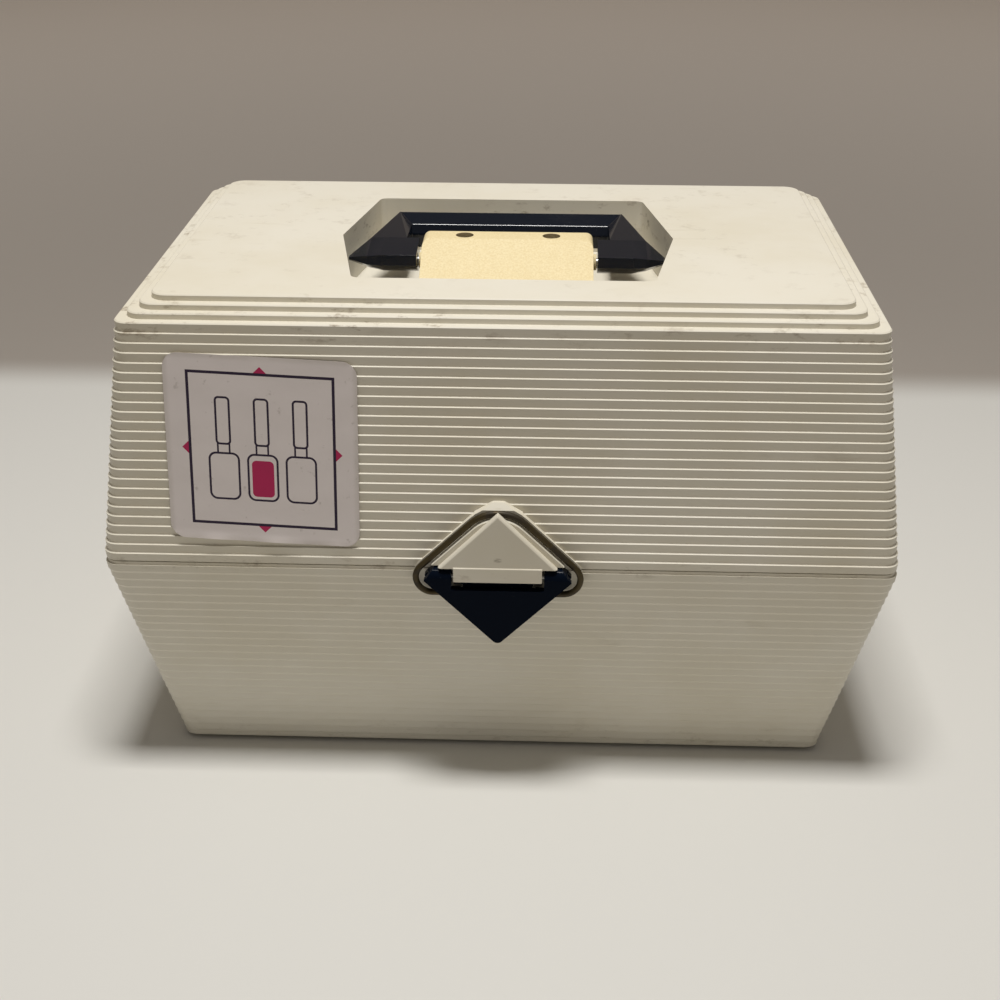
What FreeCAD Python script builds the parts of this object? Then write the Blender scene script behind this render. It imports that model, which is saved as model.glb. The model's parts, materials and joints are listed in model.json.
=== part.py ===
"""Hard-shell carry case for nail-care things: a ribbed lid and a ribbed, tapering base.

The lid carries a folding handle in a hexagonal well and swings back on two rear hinges.
Two trays ride up and back with it on parallel arms.  A plastic lever with a wire bail
holds the lid shut at the front.

Frame: +X to the right, +Y to the back, +Z up, millimetres.  The case stands on its feet at
z = 0, the latch faces -Y, and the origin is the middle of the footprint.
"""
import FreeCAD, Part
import math
import os
import Sketcher

# Driving sizes: name in the sheet, value in millimetres (or degrees, or a count), what it is.
DRIVING = (
    ("case_width", 265.0, "outer width at the seam between lid and base"),
    ("case_depth", 185.0, "outer depth at the seam"),
    ("base_rise", 80.1, "base shell, from its bottom edge to the seam"),
    ("foot_drop", 1.5, "feet stand this far below the base shell"),
    ("wall", 2.4, "wall of lid and base"),
    ("seam_gap", 0.5, "gap between lid rim and base rim"),
    ("corner_round", 5.0, "plan radius of the upright corners"),
    ("lid_bands", 25, "ribs on the lid's sides"),
    ("lid_pitch", 3.244, "height of one lid rib"),
    ("lid_ledge", 0.367, "each lid rib stands this far outside the one above it"),
    ("rib_bevel", 0.3, "height of the sloping shoulder of a rib"),
    ("rib_lean", 0.25, "the foot of each lid rib stands this far inside its top"),
    ("tread", 3.376, "width of one step round the top"),
    ("riser", 2.04, "height of one step round the top"),
    ("top_steps", 3, "steps round the top"),
    ("step_round", 5.6, "plan radius of the steps' corners"),
    ("edge_bevel", 0.35, "bevel along each upper edge of the steps"),
    ("base_bands", 24, "ribs on the base's sides"),
    ("base_taper", 17.0, "the base's bottom stands this far inside the seam"),
    ("base_lean", 0.4, "share of the taper that the ribs' upright faces lean"),
    ("base_roll", 0.8, "height of the undercut lower edge of a base rib"),
    ("top_band", 4.67, "height of the tall rib below the seam"),
    ("base_lip", 2.0, "plain lip along the bottom edge"),
    ("rim_groove", 1.1, "height of the shallow groove under the base's top edge"),
    ("rim_groove_depth", 0.5, "depth of that groove"),
    ("lip_thick", 1.2, "locating lip inside the seam"),
    ("lip_rise", 2.5, "locating lip above the seam"),
    ("lip_gap", 0.3, "clearance of the locating lip to the lid"),
    ("foot_radius", 6.0, "round foot"),
    ("foot_inset", 12.0, "foot centre, in from the bottom edge"),
    ("foot_spigot", 2.0, "radius of the stem that plugs a foot into the base"),
    ("barrel_radius", 3.6, "hinge barrels"),
    ("barrel_gap", 0.4, "hinge barrels to the back wall"),
    ("hinge_pin_radius", 1.5, "hinge pins"),
    ("turning_gap", 0.05, "radial clearance of turning pins"),
    ("hinge_offset", 78.0, "middle of each hinge, from the middle of the case"),
    ("knuckle", 14.0, "length of one hinge knuckle"),
    ("knuckle_gap", 0.4, "end gap between knuckles"),
    ("web_rise", 3.4, "height of the web that carries a knuckle"),
    ("well_depth", 20.5, "handle well below the top panel"),
    ("well_half_width", 59.3, "handle well, middle corners"),
    ("well_half_end", 50.5, "handle well, front and back corners"),
    ("well_middle", -3.0, "handle well, y of its middle corners"),
    ("well_back", 48.0, "handle well, back edge"),
    ("well_front", -53.0, "handle well, front edge"),
    ("well_round", 3.0, "handle well, corner radius"),
    ("block_width", 61.6, "handle block"),
    ("block_back", 7.0, "handle block, back face"),
    ("block_strip", 9.6, "level strip on top of the handle block"),
    ("block_drop", 1.0, "top of the handle block below the top panel"),
    ("block_slope", 30.0, "fall of the block's front face, degrees"),
    ("block_round", 2.5, "rounded top corners of the handle block"),
    ("block_floor_gap", 0.3, "bottom edge of the block's slope above the floor of the well"),
    ("screw_spacing", 31.4, "between the two screws of the handle block"),
    ("screw_hole", 3.2, "radius of the deep screw holes"),
    ("screw_seat", 5.0, "thickness left under the screw heads"),
    ("screw_head_radius", 2.9, "screw heads"),
    ("screw_head_rise", 2.0, "screw heads, height"),
    ("screw_radius", 1.4, "screw shanks"),
    ("pivot_y", -1.5, "handle pivot"),
    ("pivot_drop", 9.5, "handle pivot below the top panel"),
    ("pivot_pin_radius", 1.5, "handle pivot pins"),
    ("handle_gap", 1.6, "gap between handle block and each handle end"),
    ("pin_in_block", 6.0, "pivot pins, length in the block"),
    ("pin_in_handle", 7.5, "pivot pins, length in the handle"),
    ("collar_radius", 2.9, "collars round the pivot pins and the tray rivets"),
    ("collar_length", 1.2, "collars on the sides of the handle block"),
    ("grip_width", 9.0, "grip bar, across"),
    ("grip_thick", 11.5, "grip bar, thickness"),
    ("grip_drop", 1.0, "grip bar below the top panel"),
    ("grip_slope", 2.8, "fall of the grip bar's sloping face"),
    ("grip_half", 42.0, "half length of the grip's back edge"),
    ("grip_back", 33.0, "back edge of the folded grip"),
    ("tip_half_width", 57.5, "half distance between the pointed tips"),
    ("handle_unit", 1.0, "scale of the facets of the handle's ends"),
    ("latch_pin_drop", 0.7, "latch pin below the seam"),
    ("latch_barrel", 3.4, "radius of the lever's barrels"),
    ("latch_wall_gap", 0.6, "lever barrels to the front wall"),
    ("latch_pin_radius", 0.9, "latch pin"),
    ("mount_half", 14.6, "half width of the latch mount's knuckle"),
    ("mount_neck_half", 11.6, "half width of the latch mount below the knuckle"),
    ("mount_foot_z", 71.5, "lower edge of the latch mount"),
    ("mount_step_z", 78.2, "height at which the latch mount narrows"),
    ("mount_knuckle", 1.8, "radius of the latch mount's knuckle"),
    ("mount_gap", 0.4, "lever plate to the latch mount"),
    ("mount_screw_offset", 6.5, "screws of the latch mount, from the middle"),
    ("mount_screw_z", 75.0, "height of the latch mount's screws"),
    ("mount_seat_depth", 3.6, "seats of the mount's screws, inwards from the wall at the seam"),
    ("mount_screw_stop", 1.5, "material in front of the mount's screws"),
    ("mount_head_radius", 2.8, "heads of the latch mount's screws"),
    ("mount_head_rise", 1.6, "heads of the latch mount's screws, height"),
    ("lever_half", 24.3, "half width of the lever at its shoulders"),
    ("shoulder_half", 21.0, "half width of the lever at the top of its barrels"),
    ("shoulder_z", 80.3, "height at which the lever is widest"),
    ("latch_pin_recess", 4.0, "latch pin ends inside the lever's barrels"),
    ("bail_lug_inner", 12.4, "inner faces of the lugs behind the lever that hold the bail"),
    ("bail_lug_outer", 15.5, "outer faces of those lugs"),
    ("bail_lug_radius", 2.1, "radius of those lugs round the bail's ends"),
    ("lever_inner", 15.3, "inner ends of the lever's barrels"),
    ("lever_plate", 2.6, "thickness of the lever's plate"),
    ("lever_tip_z", 56.5, "lowest point of the lever"),
    ("lever_tip_round", 2.0, "rounding of the lever's point"),
    ("lever_clear", 3.9, "top edge of the plate below the latch pin"),
    ("bail_wire", 1.05, "radius of the bail's wire"),
    ("bail_drop", 7.2, "bail pivot below the latch pin"),
    ("bail_back", 1.5, "bail pivot behind the latch pin"),
    ("bail_apex_z", 103.0, "middle of the wire at the top of the bail"),
    ("bail_half", 27.3, "middle of the wire at the widest point of the bail"),
    ("bail_corner", 5.6, "bend radius at the lower corners of the bail"),
    ("bail_apex_round", 13.0, "bend radius at the top of the bail"),
    ("seat_gap", 0.5, "bail to the neck it is hooked round, and neck to the lever"),
    ("pad_proud", 0.3, "smooth pad behind the bail, in front of the wall at the seam"),
    ("bump_proud", 0.7, "bump above the bail, in front of the wall at the seam"),
    ("bump_top_z", 105.3, "top of the bump above the bail"),
    ("bump_half_top", 1.9, "half width of the bump at its top"),
    ("bump_half_foot", 8.0, "half width of the bump where it meets the pad"),
    ("bump_fall", 3.7, "fall of the bump's sides from its top"),
    ("bump_ramp", 2.0, "slope of the bump's top, across and down"),
    ("bump_round", 2.4, "rounding of the bump's upper corners"),
    ("pad_margin", 0.8, "smooth pad outside the middle of the bail's wire"),
    ("bail_end", 12.9, "where the in-turned ends of the bail stop"),
    ("keeper_half", 19.7, "half width of the keeper's triangle"),
    ("keeper_foot_z", 84.7, "lower edge of the keeper's triangle"),
    ("keeper_apex_z", 104.6, "point of the keeper's triangle"),
    ("keeper_thick", 2.4, "thickness of the triangle"),
    ("keeper_gap", 1.15, "keeper's back in front of the wire's middle, beyond its radius"),
    ("tab_half", 14.6, "half width of the keeper's tab"),
    ("tab_overlap", 0.6, "tab joins the triangle over this height"),
    ("tab_foot_z", 80.1, "lower edge of the keeper's tab"),
    ("tab_thick", 1.7, "thickness of the tab"),
    ("tab_proud", 0.5, "tab in front of the triangle"),
    ("peg_offset", 7.0, "keeper pegs, from the middle"),
    ("peg_z", 89.0, "height of the keeper pegs"),
    ("peg_radius", 1.5, "keeper pegs"),
    ("peg_length", 3.0, "keeper pegs"),
    ("keeper_bevel", 0.6, "bevel along the keeper's sloping edges"),
    ("label_width", 61.0, "label"),
    ("label_height", 62.8, "label, along the leaning face"),
    ("label_thick", 0.3, "label"),
    ("label_side_gap", 55.9, "middle of the label, in from the side of the case at the seam"),
    ("label_z", 121.0, "middle of the label"),
    ("label_turn", 1.4, "label turned clockwise, degrees"),
    ("label_round", 5.0, "corner radius of the label"),
    ("label_lift", 0.05, "label in front of the ribs"),
    ("tray_side_gap", 15.0, "side of a tray, in from the side of the case at the seam"),
    ("tray_wall", 1.8, "walls and floor of a tray"),
    ("tray_height", 24.0, "height of a tray"),
    ("tray_round", 4.0, "plan corner radius of a tray"),
    ("lower_tray_lift", 8.4, "underside of the lower tray above the seam"),
    ("tray_gap", 2.0, "gap between the two trays"),
    ("tray_front_gap", 13.5, "front of both trays, in from the front at the seam"),
    ("tray_back_gap", 14.5, "back of the lower tray, in from the back at the seam"),
    ("tray_step", 30.0, "back of the upper tray in front of the lower tray's"),
    ("lower_tray_cells", 5, "cells in a row of the lower tray"),
    ("upper_tray_cells", 4, "cells in a row of the upper tray"),
    ("base_cells", 5, "cells in a row of the base"),
    ("divider_drop", 3.0, "dividers end this far below the rim of a tray"),
    ("divider", 1.6, "thickness of the dividers"),
    ("divider_gap", 0.15, "clearance of dividers in their guides"),
    ("arm_reach_depth", 56.0, "long reach of an arm, forward of its pivot"),
    ("arm_reach_height", 40.0, "long reach of an arm, above its pivot"),
    ("arm_base_depth", 75.0, "arm pivot in front of the hinge"),
    ("screw_share_low", 0.75, "lower bracket screw, as a share of the arm's length"),
    ("screw_share_high", 1.22, "upper bracket screw, as a share of the arm's length"),
    ("boss_radius", 4.0, "bosses in the lid that carry the brackets"),
    ("link_screw_radius", 1.4, "bracket screws"),
    ("link_screw_length", 5.0, "bracket screws, length in the boss"),
    ("arm_width", 11.0, "width of the steel arms and brackets"),
    ("arm_thick", 2.0, "thickness of the steel arms and brackets"),
    ("arm_gap", 1.8, "tray side to the arms"),
    ("rivet_radius", 2.0, "rivets of the tray linkage"),
    ("rivet_head", 3.6, "head radius of the linkage rivets"),
    ("rivet_rise", 1.0, "head height of the linkage rivets"),
    ("head_gap", 0.15, "rivet heads to the arms"),
    ("open_gap", 0.12, "radial clearance of the two loose pivots of each tray"),
    ("lug_drop", 14.0, "base lugs reach this far below the rim"),
    ("lug_thick", 3.0, "base lugs that carry the arms"),
    ("base_divider_z", 62.0, "top of the dividers in the base"),
)

# Places that several pieces share, worked out from the sizes.
SHARED = (
    ("half_width", "sizes.case_width / 2"),
    ("half_depth", "sizes.case_depth / 2"),
    ("seam_z", "sizes.foot_drop + sizes.base_rise"),
    ("base_top", "seam_z - sizes.seam_gap / 2"),
    ("lid_foot", "seam_z + sizes.seam_gap / 2"),
    ("rim_z", "seam_z + sizes.lid_bands * sizes.lid_pitch"),
    ("rim_inset", "(sizes.lid_bands - 1) * sizes.lid_ledge"),
    ("top_z", "rim_z + sizes.top_steps * sizes.riser"),
    ("top_inset", "rim_inset + sizes.top_steps * sizes.tread"),
    ("well_floor", "top_z - sizes.well_depth"),
    ("hinge_y", "half_depth + sizes.barrel_gap + sizes.barrel_radius"),
    ("pivot_z", "top_z - sizes.pivot_drop"),
    ("block_half", "sizes.block_width / 2"),
    ("block_middle", "sizes.block_back - sizes.block_strip / 2"),
    ("block_top", "top_z - sizes.block_drop"),
    ("block_front", "sizes.block_back - sizes.block_strip"),
    ("block_toe_z", "well_floor + sizes.block_floor_gap"),
    ("block_toe_y", "block_front - (block_top - block_toe_z) / tan(sizes.block_slope)"),
    ("screw_seat_z", "well_floor + sizes.screw_seat"),
    ("latch_y", "-(half_depth + sizes.latch_wall_gap + sizes.latch_barrel)"),
    ("latch_z", "seam_z - sizes.latch_pin_drop"),
    ("lever_front", "latch_y - sizes.latch_barrel"),
    ("plate_back", "lever_front + sizes.lever_plate"),
    ("plate_top", "latch_z - sizes.lever_clear"),
    ("lever_top", "latch_z + sizes.latch_barrel"),
    ("mount_front", "plate_back + sizes.mount_gap"),
    ("mount_screw_seat", "half_depth - sizes.wall - sizes.mount_seat_depth"),
    ("bail_y", "latch_y + sizes.bail_back"),
    ("bail_z", "latch_z - sizes.bail_drop"),
    ("keeper_back", "bail_y - sizes.bail_wire - sizes.keeper_gap"),
    ("keeper_front", "keeper_back - sizes.keeper_thick"),
    ("tab_front", "keeper_front - sizes.tab_proud"),
    ("label_x", "sizes.label_side_gap - half_width"),
    ("pad_y", "-(half_depth + sizes.pad_proud)"),
    ("bump_y", "-(half_depth + sizes.bump_proud)"),
    ("tray_half", "half_width - sizes.tray_side_gap"),
    ("tray_front", "-(half_depth - sizes.tray_front_gap)"),
    ("lower_tray_back", "half_depth - sizes.tray_back_gap"),
    ("upper_tray_back", "lower_tray_back - sizes.tray_step"),
    ("lower_tray_z", "seam_z + sizes.lower_tray_lift"),
    ("upper_tray_z", "lower_tray_z + sizes.tray_height + sizes.tray_gap"),
    ("arm_x", "tray_half + sizes.arm_gap"),
    ("arm_outer", "arm_x + sizes.arm_thick"),
    ("base_pivot_y", "hinge_y - sizes.arm_base_depth"),
)

doc = FreeCAD.newDocument("carry_case")


def fill_sheet(name, rows):
    """Adds a sheet whose column B holds each row's value under the row's alias."""
    sheet = doc.addObject("Spreadsheet::Sheet", name)
    for line, (alias, value, note) in enumerate(rows, start=1):
        sheet.set(f"A{line}", note)
        sheet.set(f"B{line}", str(value))
        sheet.setAlias(f"B{line}", alias)
    doc.recompute()
    return sheet


sizes = fill_sheet("sizes", DRIVING)
places = fill_sheet("places", [(alias, "=" + formula, alias) for alias, formula in SHARED])
V = FreeCAD.Vector
X_AXIS = V(1, 0, 0)
finished = []


def value(ref):
    """Number behind a reference such as "sizes.wall", "-places.half_width" or "0"."""
    sign = -1 if ref.startswith("-") else 1
    ref = ref.lstrip("-")
    if "." not in ref:
        return sign * float(ref)
    sheet_name, alias = ref.split(".")
    return sign * float(getattr({"sizes": sizes, "places": places}[sheet_name], alias))


def finish(obj, label):
    """Marks an object as a sub-part of the case and names its node."""
    obj.Label = label
    finished.append(obj)
    return obj


def shaped(name, shape):
    """Object that holds a shape built with Part's own functions."""
    obj = doc.addObject("Part::Feature", name)
    obj.Shape = shape
    return obj


def box(name, corner, size):
    """Part::Box whose corner and size are expressions."""
    obj = doc.addObject("Part::Box", name)
    for axis, place in zip("xyz", corner):
        obj.setExpression(f"Placement.Base.{axis}", place)
    for side, length in zip(("Length", "Width", "Height"), size):
        obj.setExpression(side, length)
    return obj


TURNS = {
    "x": FreeCAD.Rotation(V(0, 1, 0), 90),
    "y": FreeCAD.Rotation(V(1, 0, 0), -90),
    "z": FreeCAD.Rotation(),
}


def rod(name, along, start, radius, length):
    """Part::Cylinder along an axis; start, radius and length are expressions."""
    obj = doc.addObject("Part::Cylinder", name)
    obj.Placement = FreeCAD.Placement(V(), TURNS[along])
    for axis, place in zip("xyz", start):
        obj.setExpression(f"Placement.Base.{axis}", place)
    obj.setExpression("Radius", radius)
    obj.setExpression("Height", length)
    return obj


def fuse(name, *pieces):
    obj = doc.addObject("Part::MultiFuse", name)
    obj.Shapes = list(pieces)
    return obj


def cut(name, base, *tools):
    """Base less the tools."""
    obj = doc.addObject("Part::Cut", name)
    obj.Base = base
    obj.Tool = tools[0] if len(tools) == 1 else fuse(name + "_tools", *tools)
    return obj


def common(name, one, two):
    obj = doc.addObject("Part::Common", name)
    obj.Base = one
    obj.Tool = two
    return obj


def constrain_outline(sketch, points):
    """Draws a closed outline and ties each corner to a size or place by name."""
    spots = [V(value(across), value(up), 0) for across, up in points]
    for one, two in zip(spots, spots[1:] + spots[:1]):
        sketch.addGeometry(Part.LineSegment(one, two), False)
    for line in range(len(points)):
        following = (line + 1) % len(points)
        sketch.addConstraint(Sketcher.Constraint("Coincident", line, 2, following, 1))
    for line, (across, up) in enumerate(points):
        for kind, ref, axis in (("DistanceX", across, -2), ("DistanceY", up, -1)):
            if ref == "0":
                sketch.addConstraint(Sketcher.Constraint("PointOnObject", line, 1, axis))
                continue
            rule = Sketcher.Constraint(kind, -1, 1, line, 1, value(ref))
            number = sketch.addConstraint(rule)
            sketch.setExpression(f"Constraints[{number}]", ref)


def profile(name, plane, points, start, length):
    """PartDesign body: an outline of referenced points, padded along the plane's normal.

    On XZ_Plane the pad runs towards -Y from y = start; on YZ_Plane it runs towards +X.
    """
    body = doc.addObject("PartDesign::Body", name)
    sketch = body.newObject("Sketcher::SketchObject", name + "_outline")
    origin = next(item for item in body.Origin.OriginFeatures if item.Role == plane)
    sketch.AttachmentSupport = [(origin, "")]
    sketch.MapMode = "FlatFace"
    sketch.setExpression(
        "AttachmentOffset.Base.z", f"-({start})" if plane == "XZ_Plane" else start
    )
    constrain_outline(sketch, points)
    pad = body.newObject("PartDesign::Pad", name + "_pad")
    pad.Profile = sketch
    pad.setExpression("Length", length)
    doc.recompute()
    return body


def upright_edges(shape):
    """Names of the edges that run straight up."""
    names = []
    for number, edge in enumerate(shape.Edges, start=1):
        box_ = edge.BoundBox
        if box_.ZLength > 1e-3 and box_.XLength < 1e-4 and box_.YLength < 1e-4:
            names.append(f"Edge{number}")
    return names


# ---------------------------------------------------------------- ribbed shells

def plan_edges(half_x, half_y, radius, height):
    """Rounded rectangle in plan as eight edges, corner and side in turn."""
    def on_corner(corner, degrees):
        angle = math.radians(degrees)
        return corner + V(radius * math.cos(angle), radius * math.sin(angle), 0)

    across, along = half_x - radius, half_y - radius
    corners = [V(across, along, height), V(-across, along, height)]
    corners += [V(-across, -along, height), V(across, -along, height)]
    edges = []
    for turn, corner in enumerate(corners):
        start = 90 * turn
        arc = [on_corner(corner, start + step) for step in (0, 45, 90)]
        edges.append(Part.Arc(*arc).toShape())
        following = on_corner(corners[(turn + 1) % 4], start + 90)
        edges.append(Part.LineSegment(arc[2], following).toShape())
    return edges


def band(lower, upper):
    """Wall between two rounded rectangles: flat sides, round corners."""
    faces = []
    for low, high in zip(lower, upper):
        if not isinstance(low.Curve, Part.Circle):
            one, two = (vertex.Point for vertex in low.Vertexes)
            four, three = (vertex.Point for vertex in high.Vertexes)
            faces.append(Part.Face(Part.makePolygon([one, two, three, four, one])))
            continue
        climb = high.Curve.Center - low.Curve.Center
        same = abs(low.Curve.Radius - high.Curve.Radius) < 1e-9
        if same and math.hypot(climb.x, climb.y) < 1e-9:
            faces.append(low.extrude(climb))
        else:
            faces.append(Part.makeRuledSurface(low, high))
    return faces


def stack(levels):
    """Solid through rounded rectangles given as (inset, radius, height), lowest first."""
    rings = []
    for inset, radius, height in levels:
        half_x = places.half_width - inset
        half_y = places.half_depth - inset
        rings.append(plan_edges(half_x, half_y, radius, height))
    faces = [Part.Face(Part.Wire(rings[0])), Part.Face(Part.Wire(rings[-1]))]
    for number, (lower, upper) in enumerate(zip(rings, rings[1:])):
        if abs(levels[number][2] - levels[number + 1][2]) > 1e-7:
            faces += band(lower, upper)
            continue
        flats = sorted((Part.Face(Part.Wire(ring)) for ring in (lower, upper)), key=lambda f: f.Area)
        faces += flats[1].cut(flats[0]).Faces
    solid = Part.Solid(Part.Shell(faces))
    if solid.Volume < 0:
        solid.reverse()
    return solid


def lid_levels():
    """Rounded rectangles of the lid's outside: ribs, then the steps round the top."""
    levels = []
    bands = int(sizes.lid_bands)
    for number in range(bands):
        inset = number * sizes.lid_ledge
        foot = places.seam_z + number * sizes.lid_pitch
        start = places.lid_foot if number == 0 else foot
        levels.append((inset + sizes.rib_lean, sizes.corner_round, start))
        if number < bands - 1:
            levels.append((inset, sizes.corner_round, foot + sizes.lid_pitch - sizes.rib_bevel))
    inset, radius, height = places.rim_inset, sizes.corner_round, places.rim_z
    levels.append((inset, radius, height - sizes.edge_bevel))
    levels.append((inset + sizes.edge_bevel, radius, height))
    radius = sizes.step_round
    for step in range(int(sizes.top_steps)):
        inset += sizes.tread
        levels.append((inset, radius, height))
        height += sizes.riser
        levels.append((inset, radius, height - sizes.edge_bevel))
        levels.append((inset + sizes.edge_bevel, radius, height))
    return levels


def base_levels():
    """Rounded rectangles of the base's outside, from the bottom lip up to the seam."""
    bands = int(sizes.base_bands)
    ribbed = sizes.base_rise - sizes.base_lip - sizes.top_band
    pitch = ribbed / (bands - 1)
    share = sizes.base_taper / bands
    lean = share * sizes.base_lean
    radius = sizes.corner_round
    levels = [(sizes.base_taper + sizes.edge_bevel, radius, sizes.foot_drop)]
    levels.append((sizes.base_taper, radius, sizes.foot_drop + sizes.edge_bevel))
    levels.append((sizes.base_taper, radius, sizes.foot_drop + sizes.base_lip))
    height = sizes.foot_drop + sizes.base_lip
    for number in range(bands):
        inset = sizes.base_taper - (number + 1) * share
        levels.append((inset + lean, radius, height + sizes.base_roll))
        height += pitch
        if number < bands - 1:
            levels.append((inset, radius, height))
    ledge = places.base_top - sizes.rim_groove
    levels.append((inset, radius, ledge))
    levels.append((inset + sizes.rim_groove_depth, radius, ledge))
    levels.append((inset + sizes.rim_groove_depth, radius, places.base_top))
    return levels


def inner_radius():
    return sizes.corner_round - sizes.wall / 2


lid_outside = shaped("lid_outside", stack(lid_levels()))
lid_hollow = shaped("lid_hollow", stack([
    (sizes.wall, inner_radius(), places.lid_foot - sizes.wall),
    (sizes.wall, inner_radius(), places.lid_foot),
    (places.rim_inset + sizes.wall, inner_radius(), places.rim_z - sizes.wall),
    (places.top_inset + sizes.wall, inner_radius(), places.rim_z - sizes.wall),
    (places.top_inset + sizes.wall, inner_radius(), places.top_z - sizes.wall),
]))
base_outside = shaped("base_outside", stack(base_levels()))
base_hollow = shaped("base_hollow", stack([
    (sizes.base_taper + sizes.wall, inner_radius(), sizes.foot_drop + sizes.wall),
    (sizes.wall, inner_radius(), places.base_top),
    (sizes.wall, inner_radius(), places.base_top + sizes.wall),
]))

# Locating lip inside the seam: it grows out of the base's wall and stands up inside the lid.
lip_inset = sizes.wall + sizes.lip_gap
lip_ring = stack([
    (lip_inset, inner_radius(), places.base_top - 2 * sizes.lip_rise),
    (lip_inset, inner_radius(), places.base_top + sizes.lip_rise),
])
lip_bore = stack([
    (lip_inset + sizes.lip_thick, inner_radius(), places.base_top - 3 * sizes.lip_rise),
    (lip_inset + sizes.lip_thick, inner_radius(), places.base_top + 2 * sizes.lip_rise),
])
lip_ledge = stack([
    (sizes.wall / 2, inner_radius(), places.base_top - 2 * sizes.lip_rise),
    (sizes.wall / 2, inner_radius(), places.base_top - sizes.lip_rise / 2),
])
base_lip = shaped("base_lip_ring", lip_ring.fuse(lip_ledge).cut(lip_bore))


# ---------------------------------------------------------------- handle well

def well_outline(height, spread):
    """Hexagon of the handle well, grown outwards by the spread."""
    sides = ((1, 1), (-1, 1), (-1, -1), (1, -1))
    spots = []
    for across, along in sides:
        edge = sizes.well_back if along > 0 else sizes.well_front
        spots.append(V(across * sizes.well_half_end, edge, height))
    spots.insert(2, V(-sizes.well_half_width, sizes.well_middle, height))
    spots.append(V(sizes.well_half_width, sizes.well_middle, height))
    wire = Part.makePolygon(spots + spots[:1])
    return wire.makeOffset2D(spread, 2) if spread else wire


def well_form(bottom, top, spread):
    solid = Part.Face(well_outline(bottom, spread)).extrude(V(0, 0, top - bottom))
    upright = [edge for edge in solid.Edges if edge.BoundBox.ZLength > 1]
    return solid.makeFillet(sizes.well_round + spread, upright)


well_walls = shaped("well_walls", well_form(
    places.well_floor - sizes.wall, places.top_z - sizes.wall / 2, sizes.wall))
well_space = shaped("well_space", well_form(places.well_floor, places.top_z + sizes.wall, 0))


# ---------------------------------------------------------------- hinges

def knuckle(name, hinge_middle, place, above):
    """One hinge knuckle: place is -1, 0 or 1 along the hinge; above puts it on the lid."""
    start = f"{hinge_middle} + ({place} - 0.5) * sizes.knuckle + sizes.knuckle_gap / 2"
    length = "sizes.knuckle - sizes.knuckle_gap"
    barrel = rod(name + "_barrel", "x", (start, "places.hinge_y", "places.seam_z"),
                 "sizes.barrel_radius", length)
    web_foot = "places.lid_foot" if above else "places.base_top - sizes.web_rise"
    web_start = "places.half_depth - sizes.wall / 2"
    web = box(name + "_web", (start, web_start, web_foot),
              (length, f"places.hinge_y - ({web_start})", "sizes.web_rise"))
    return [barrel, web]


def hinge_line(name, radius, beyond):
    """Two rods on the hinge axis, one through each hinge."""
    rods = []
    for side, sign in (("left", "-"), ("right", "")):
        start = f"{sign}sizes.hinge_offset - 1.5 * sizes.knuckle - {beyond}"
        rods.append(rod(f"{name}_{side}", "x", (start, "places.hinge_y", "places.seam_z"),
                        radius, f"3 * sizes.knuckle + 2 * ({beyond})"))
    return rods


lid_knuckles, base_knuckles = [], []
for side, middle in (("left", "-sizes.hinge_offset"), ("right", "sizes.hinge_offset")):
    lid_knuckles += knuckle(f"lid_knuckle_{side}", middle, 0, True)
    base_knuckles += knuckle(f"base_knuckle_inner_{side}", middle, -1, False)
    base_knuckles += knuckle(f"base_knuckle_outer_{side}", middle, 1, False)
turning_holes = hinge_line("hinge_turning_hole", "sizes.hinge_pin_radius + sizes.turning_gap", "1")
tight_holes = hinge_line("hinge_tight_hole", "sizes.hinge_pin_radius", "1")
finish(fuse("hinge_pin_pair", *hinge_line("hinge_pin", "sizes.hinge_pin_radius", "0")),
       "hinge_pins")


# ---------------------------------------------------------------- wire bail and its seat

def bail_tangent(offset):
    """Circles and tangent of one side of the bail, with every radius less the offset.

    Gives the top arc's middle, the corner arc's middle and the direction, from +Z, in which
    both arcs' radii meet the straight side between them.
    """
    top_round = sizes.bail_apex_round
    corner_round = sizes.bail_corner
    top = V(0, 0, sizes.bail_apex_z - top_round)
    corner = V(sizes.bail_half - corner_round, 0, places.bail_z + corner_round)
    run = corner - top
    slope = math.atan2(-run.z, run.x) + math.asin((top_round - corner_round) / run.Length)
    return top, corner, slope, top_round - offset, corner_round - offset


def on_arc(middle, radius, angle):
    """Point on an arc in the XZ plane, at an angle from +Z towards +X."""
    return middle + V(radius * math.sin(angle), 0, radius * math.cos(angle))


def mirrored(point):
    return V(-point.x, point.y, point.z)


def bail_side(offset):
    """Edges of the bail's outline from the middle of its top to its right-hand corner."""
    top, corner, slope, top_radius, corner_radius = bail_tangent(offset)
    arc_end = on_arc(top, top_radius, slope)
    side_end = on_arc(corner, corner_radius, slope)
    bottom = on_arc(corner, corner_radius, math.pi)
    half_way = on_arc(corner, corner_radius, (slope + math.pi) / 2)
    return arc_end, side_end, half_way, bottom, on_arc(top, top_radius, 0)


def bail_outline(offset, floor):
    """Closed face inside the bail, pulled in by the offset and cut off level at the floor."""
    arc_end, side_end, half_way, bottom, apex = bail_side(offset)
    edges = [
        Part.Arc(mirrored(arc_end), apex, arc_end).toShape(),
        Part.LineSegment(arc_end, side_end).toShape(),
        Part.Arc(side_end, half_way, bottom).toShape(),
        Part.LineSegment(bottom, mirrored(bottom)).toShape(),
        Part.Arc(mirrored(bottom), mirrored(half_way), mirrored(side_end)).toShape(),
        Part.LineSegment(mirrored(side_end), mirrored(arc_end)).toShape(),
    ]
    face = Part.Face(Part.Wire(edges))
    keep = Part.makePlane(sizes.case_width, sizes.case_width,
                          V(-places.half_width, 0, floor), V(0, -1, 0), V(1, 0, 0))
    return face.common(keep)


def between(face, front, back):
    """Solid of a face in the XZ plane, from one y to another."""
    moved = face.copy()
    moved.translate(V(0, front, 0))
    return moved.extrude(V(0, back - front, 0))


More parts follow.
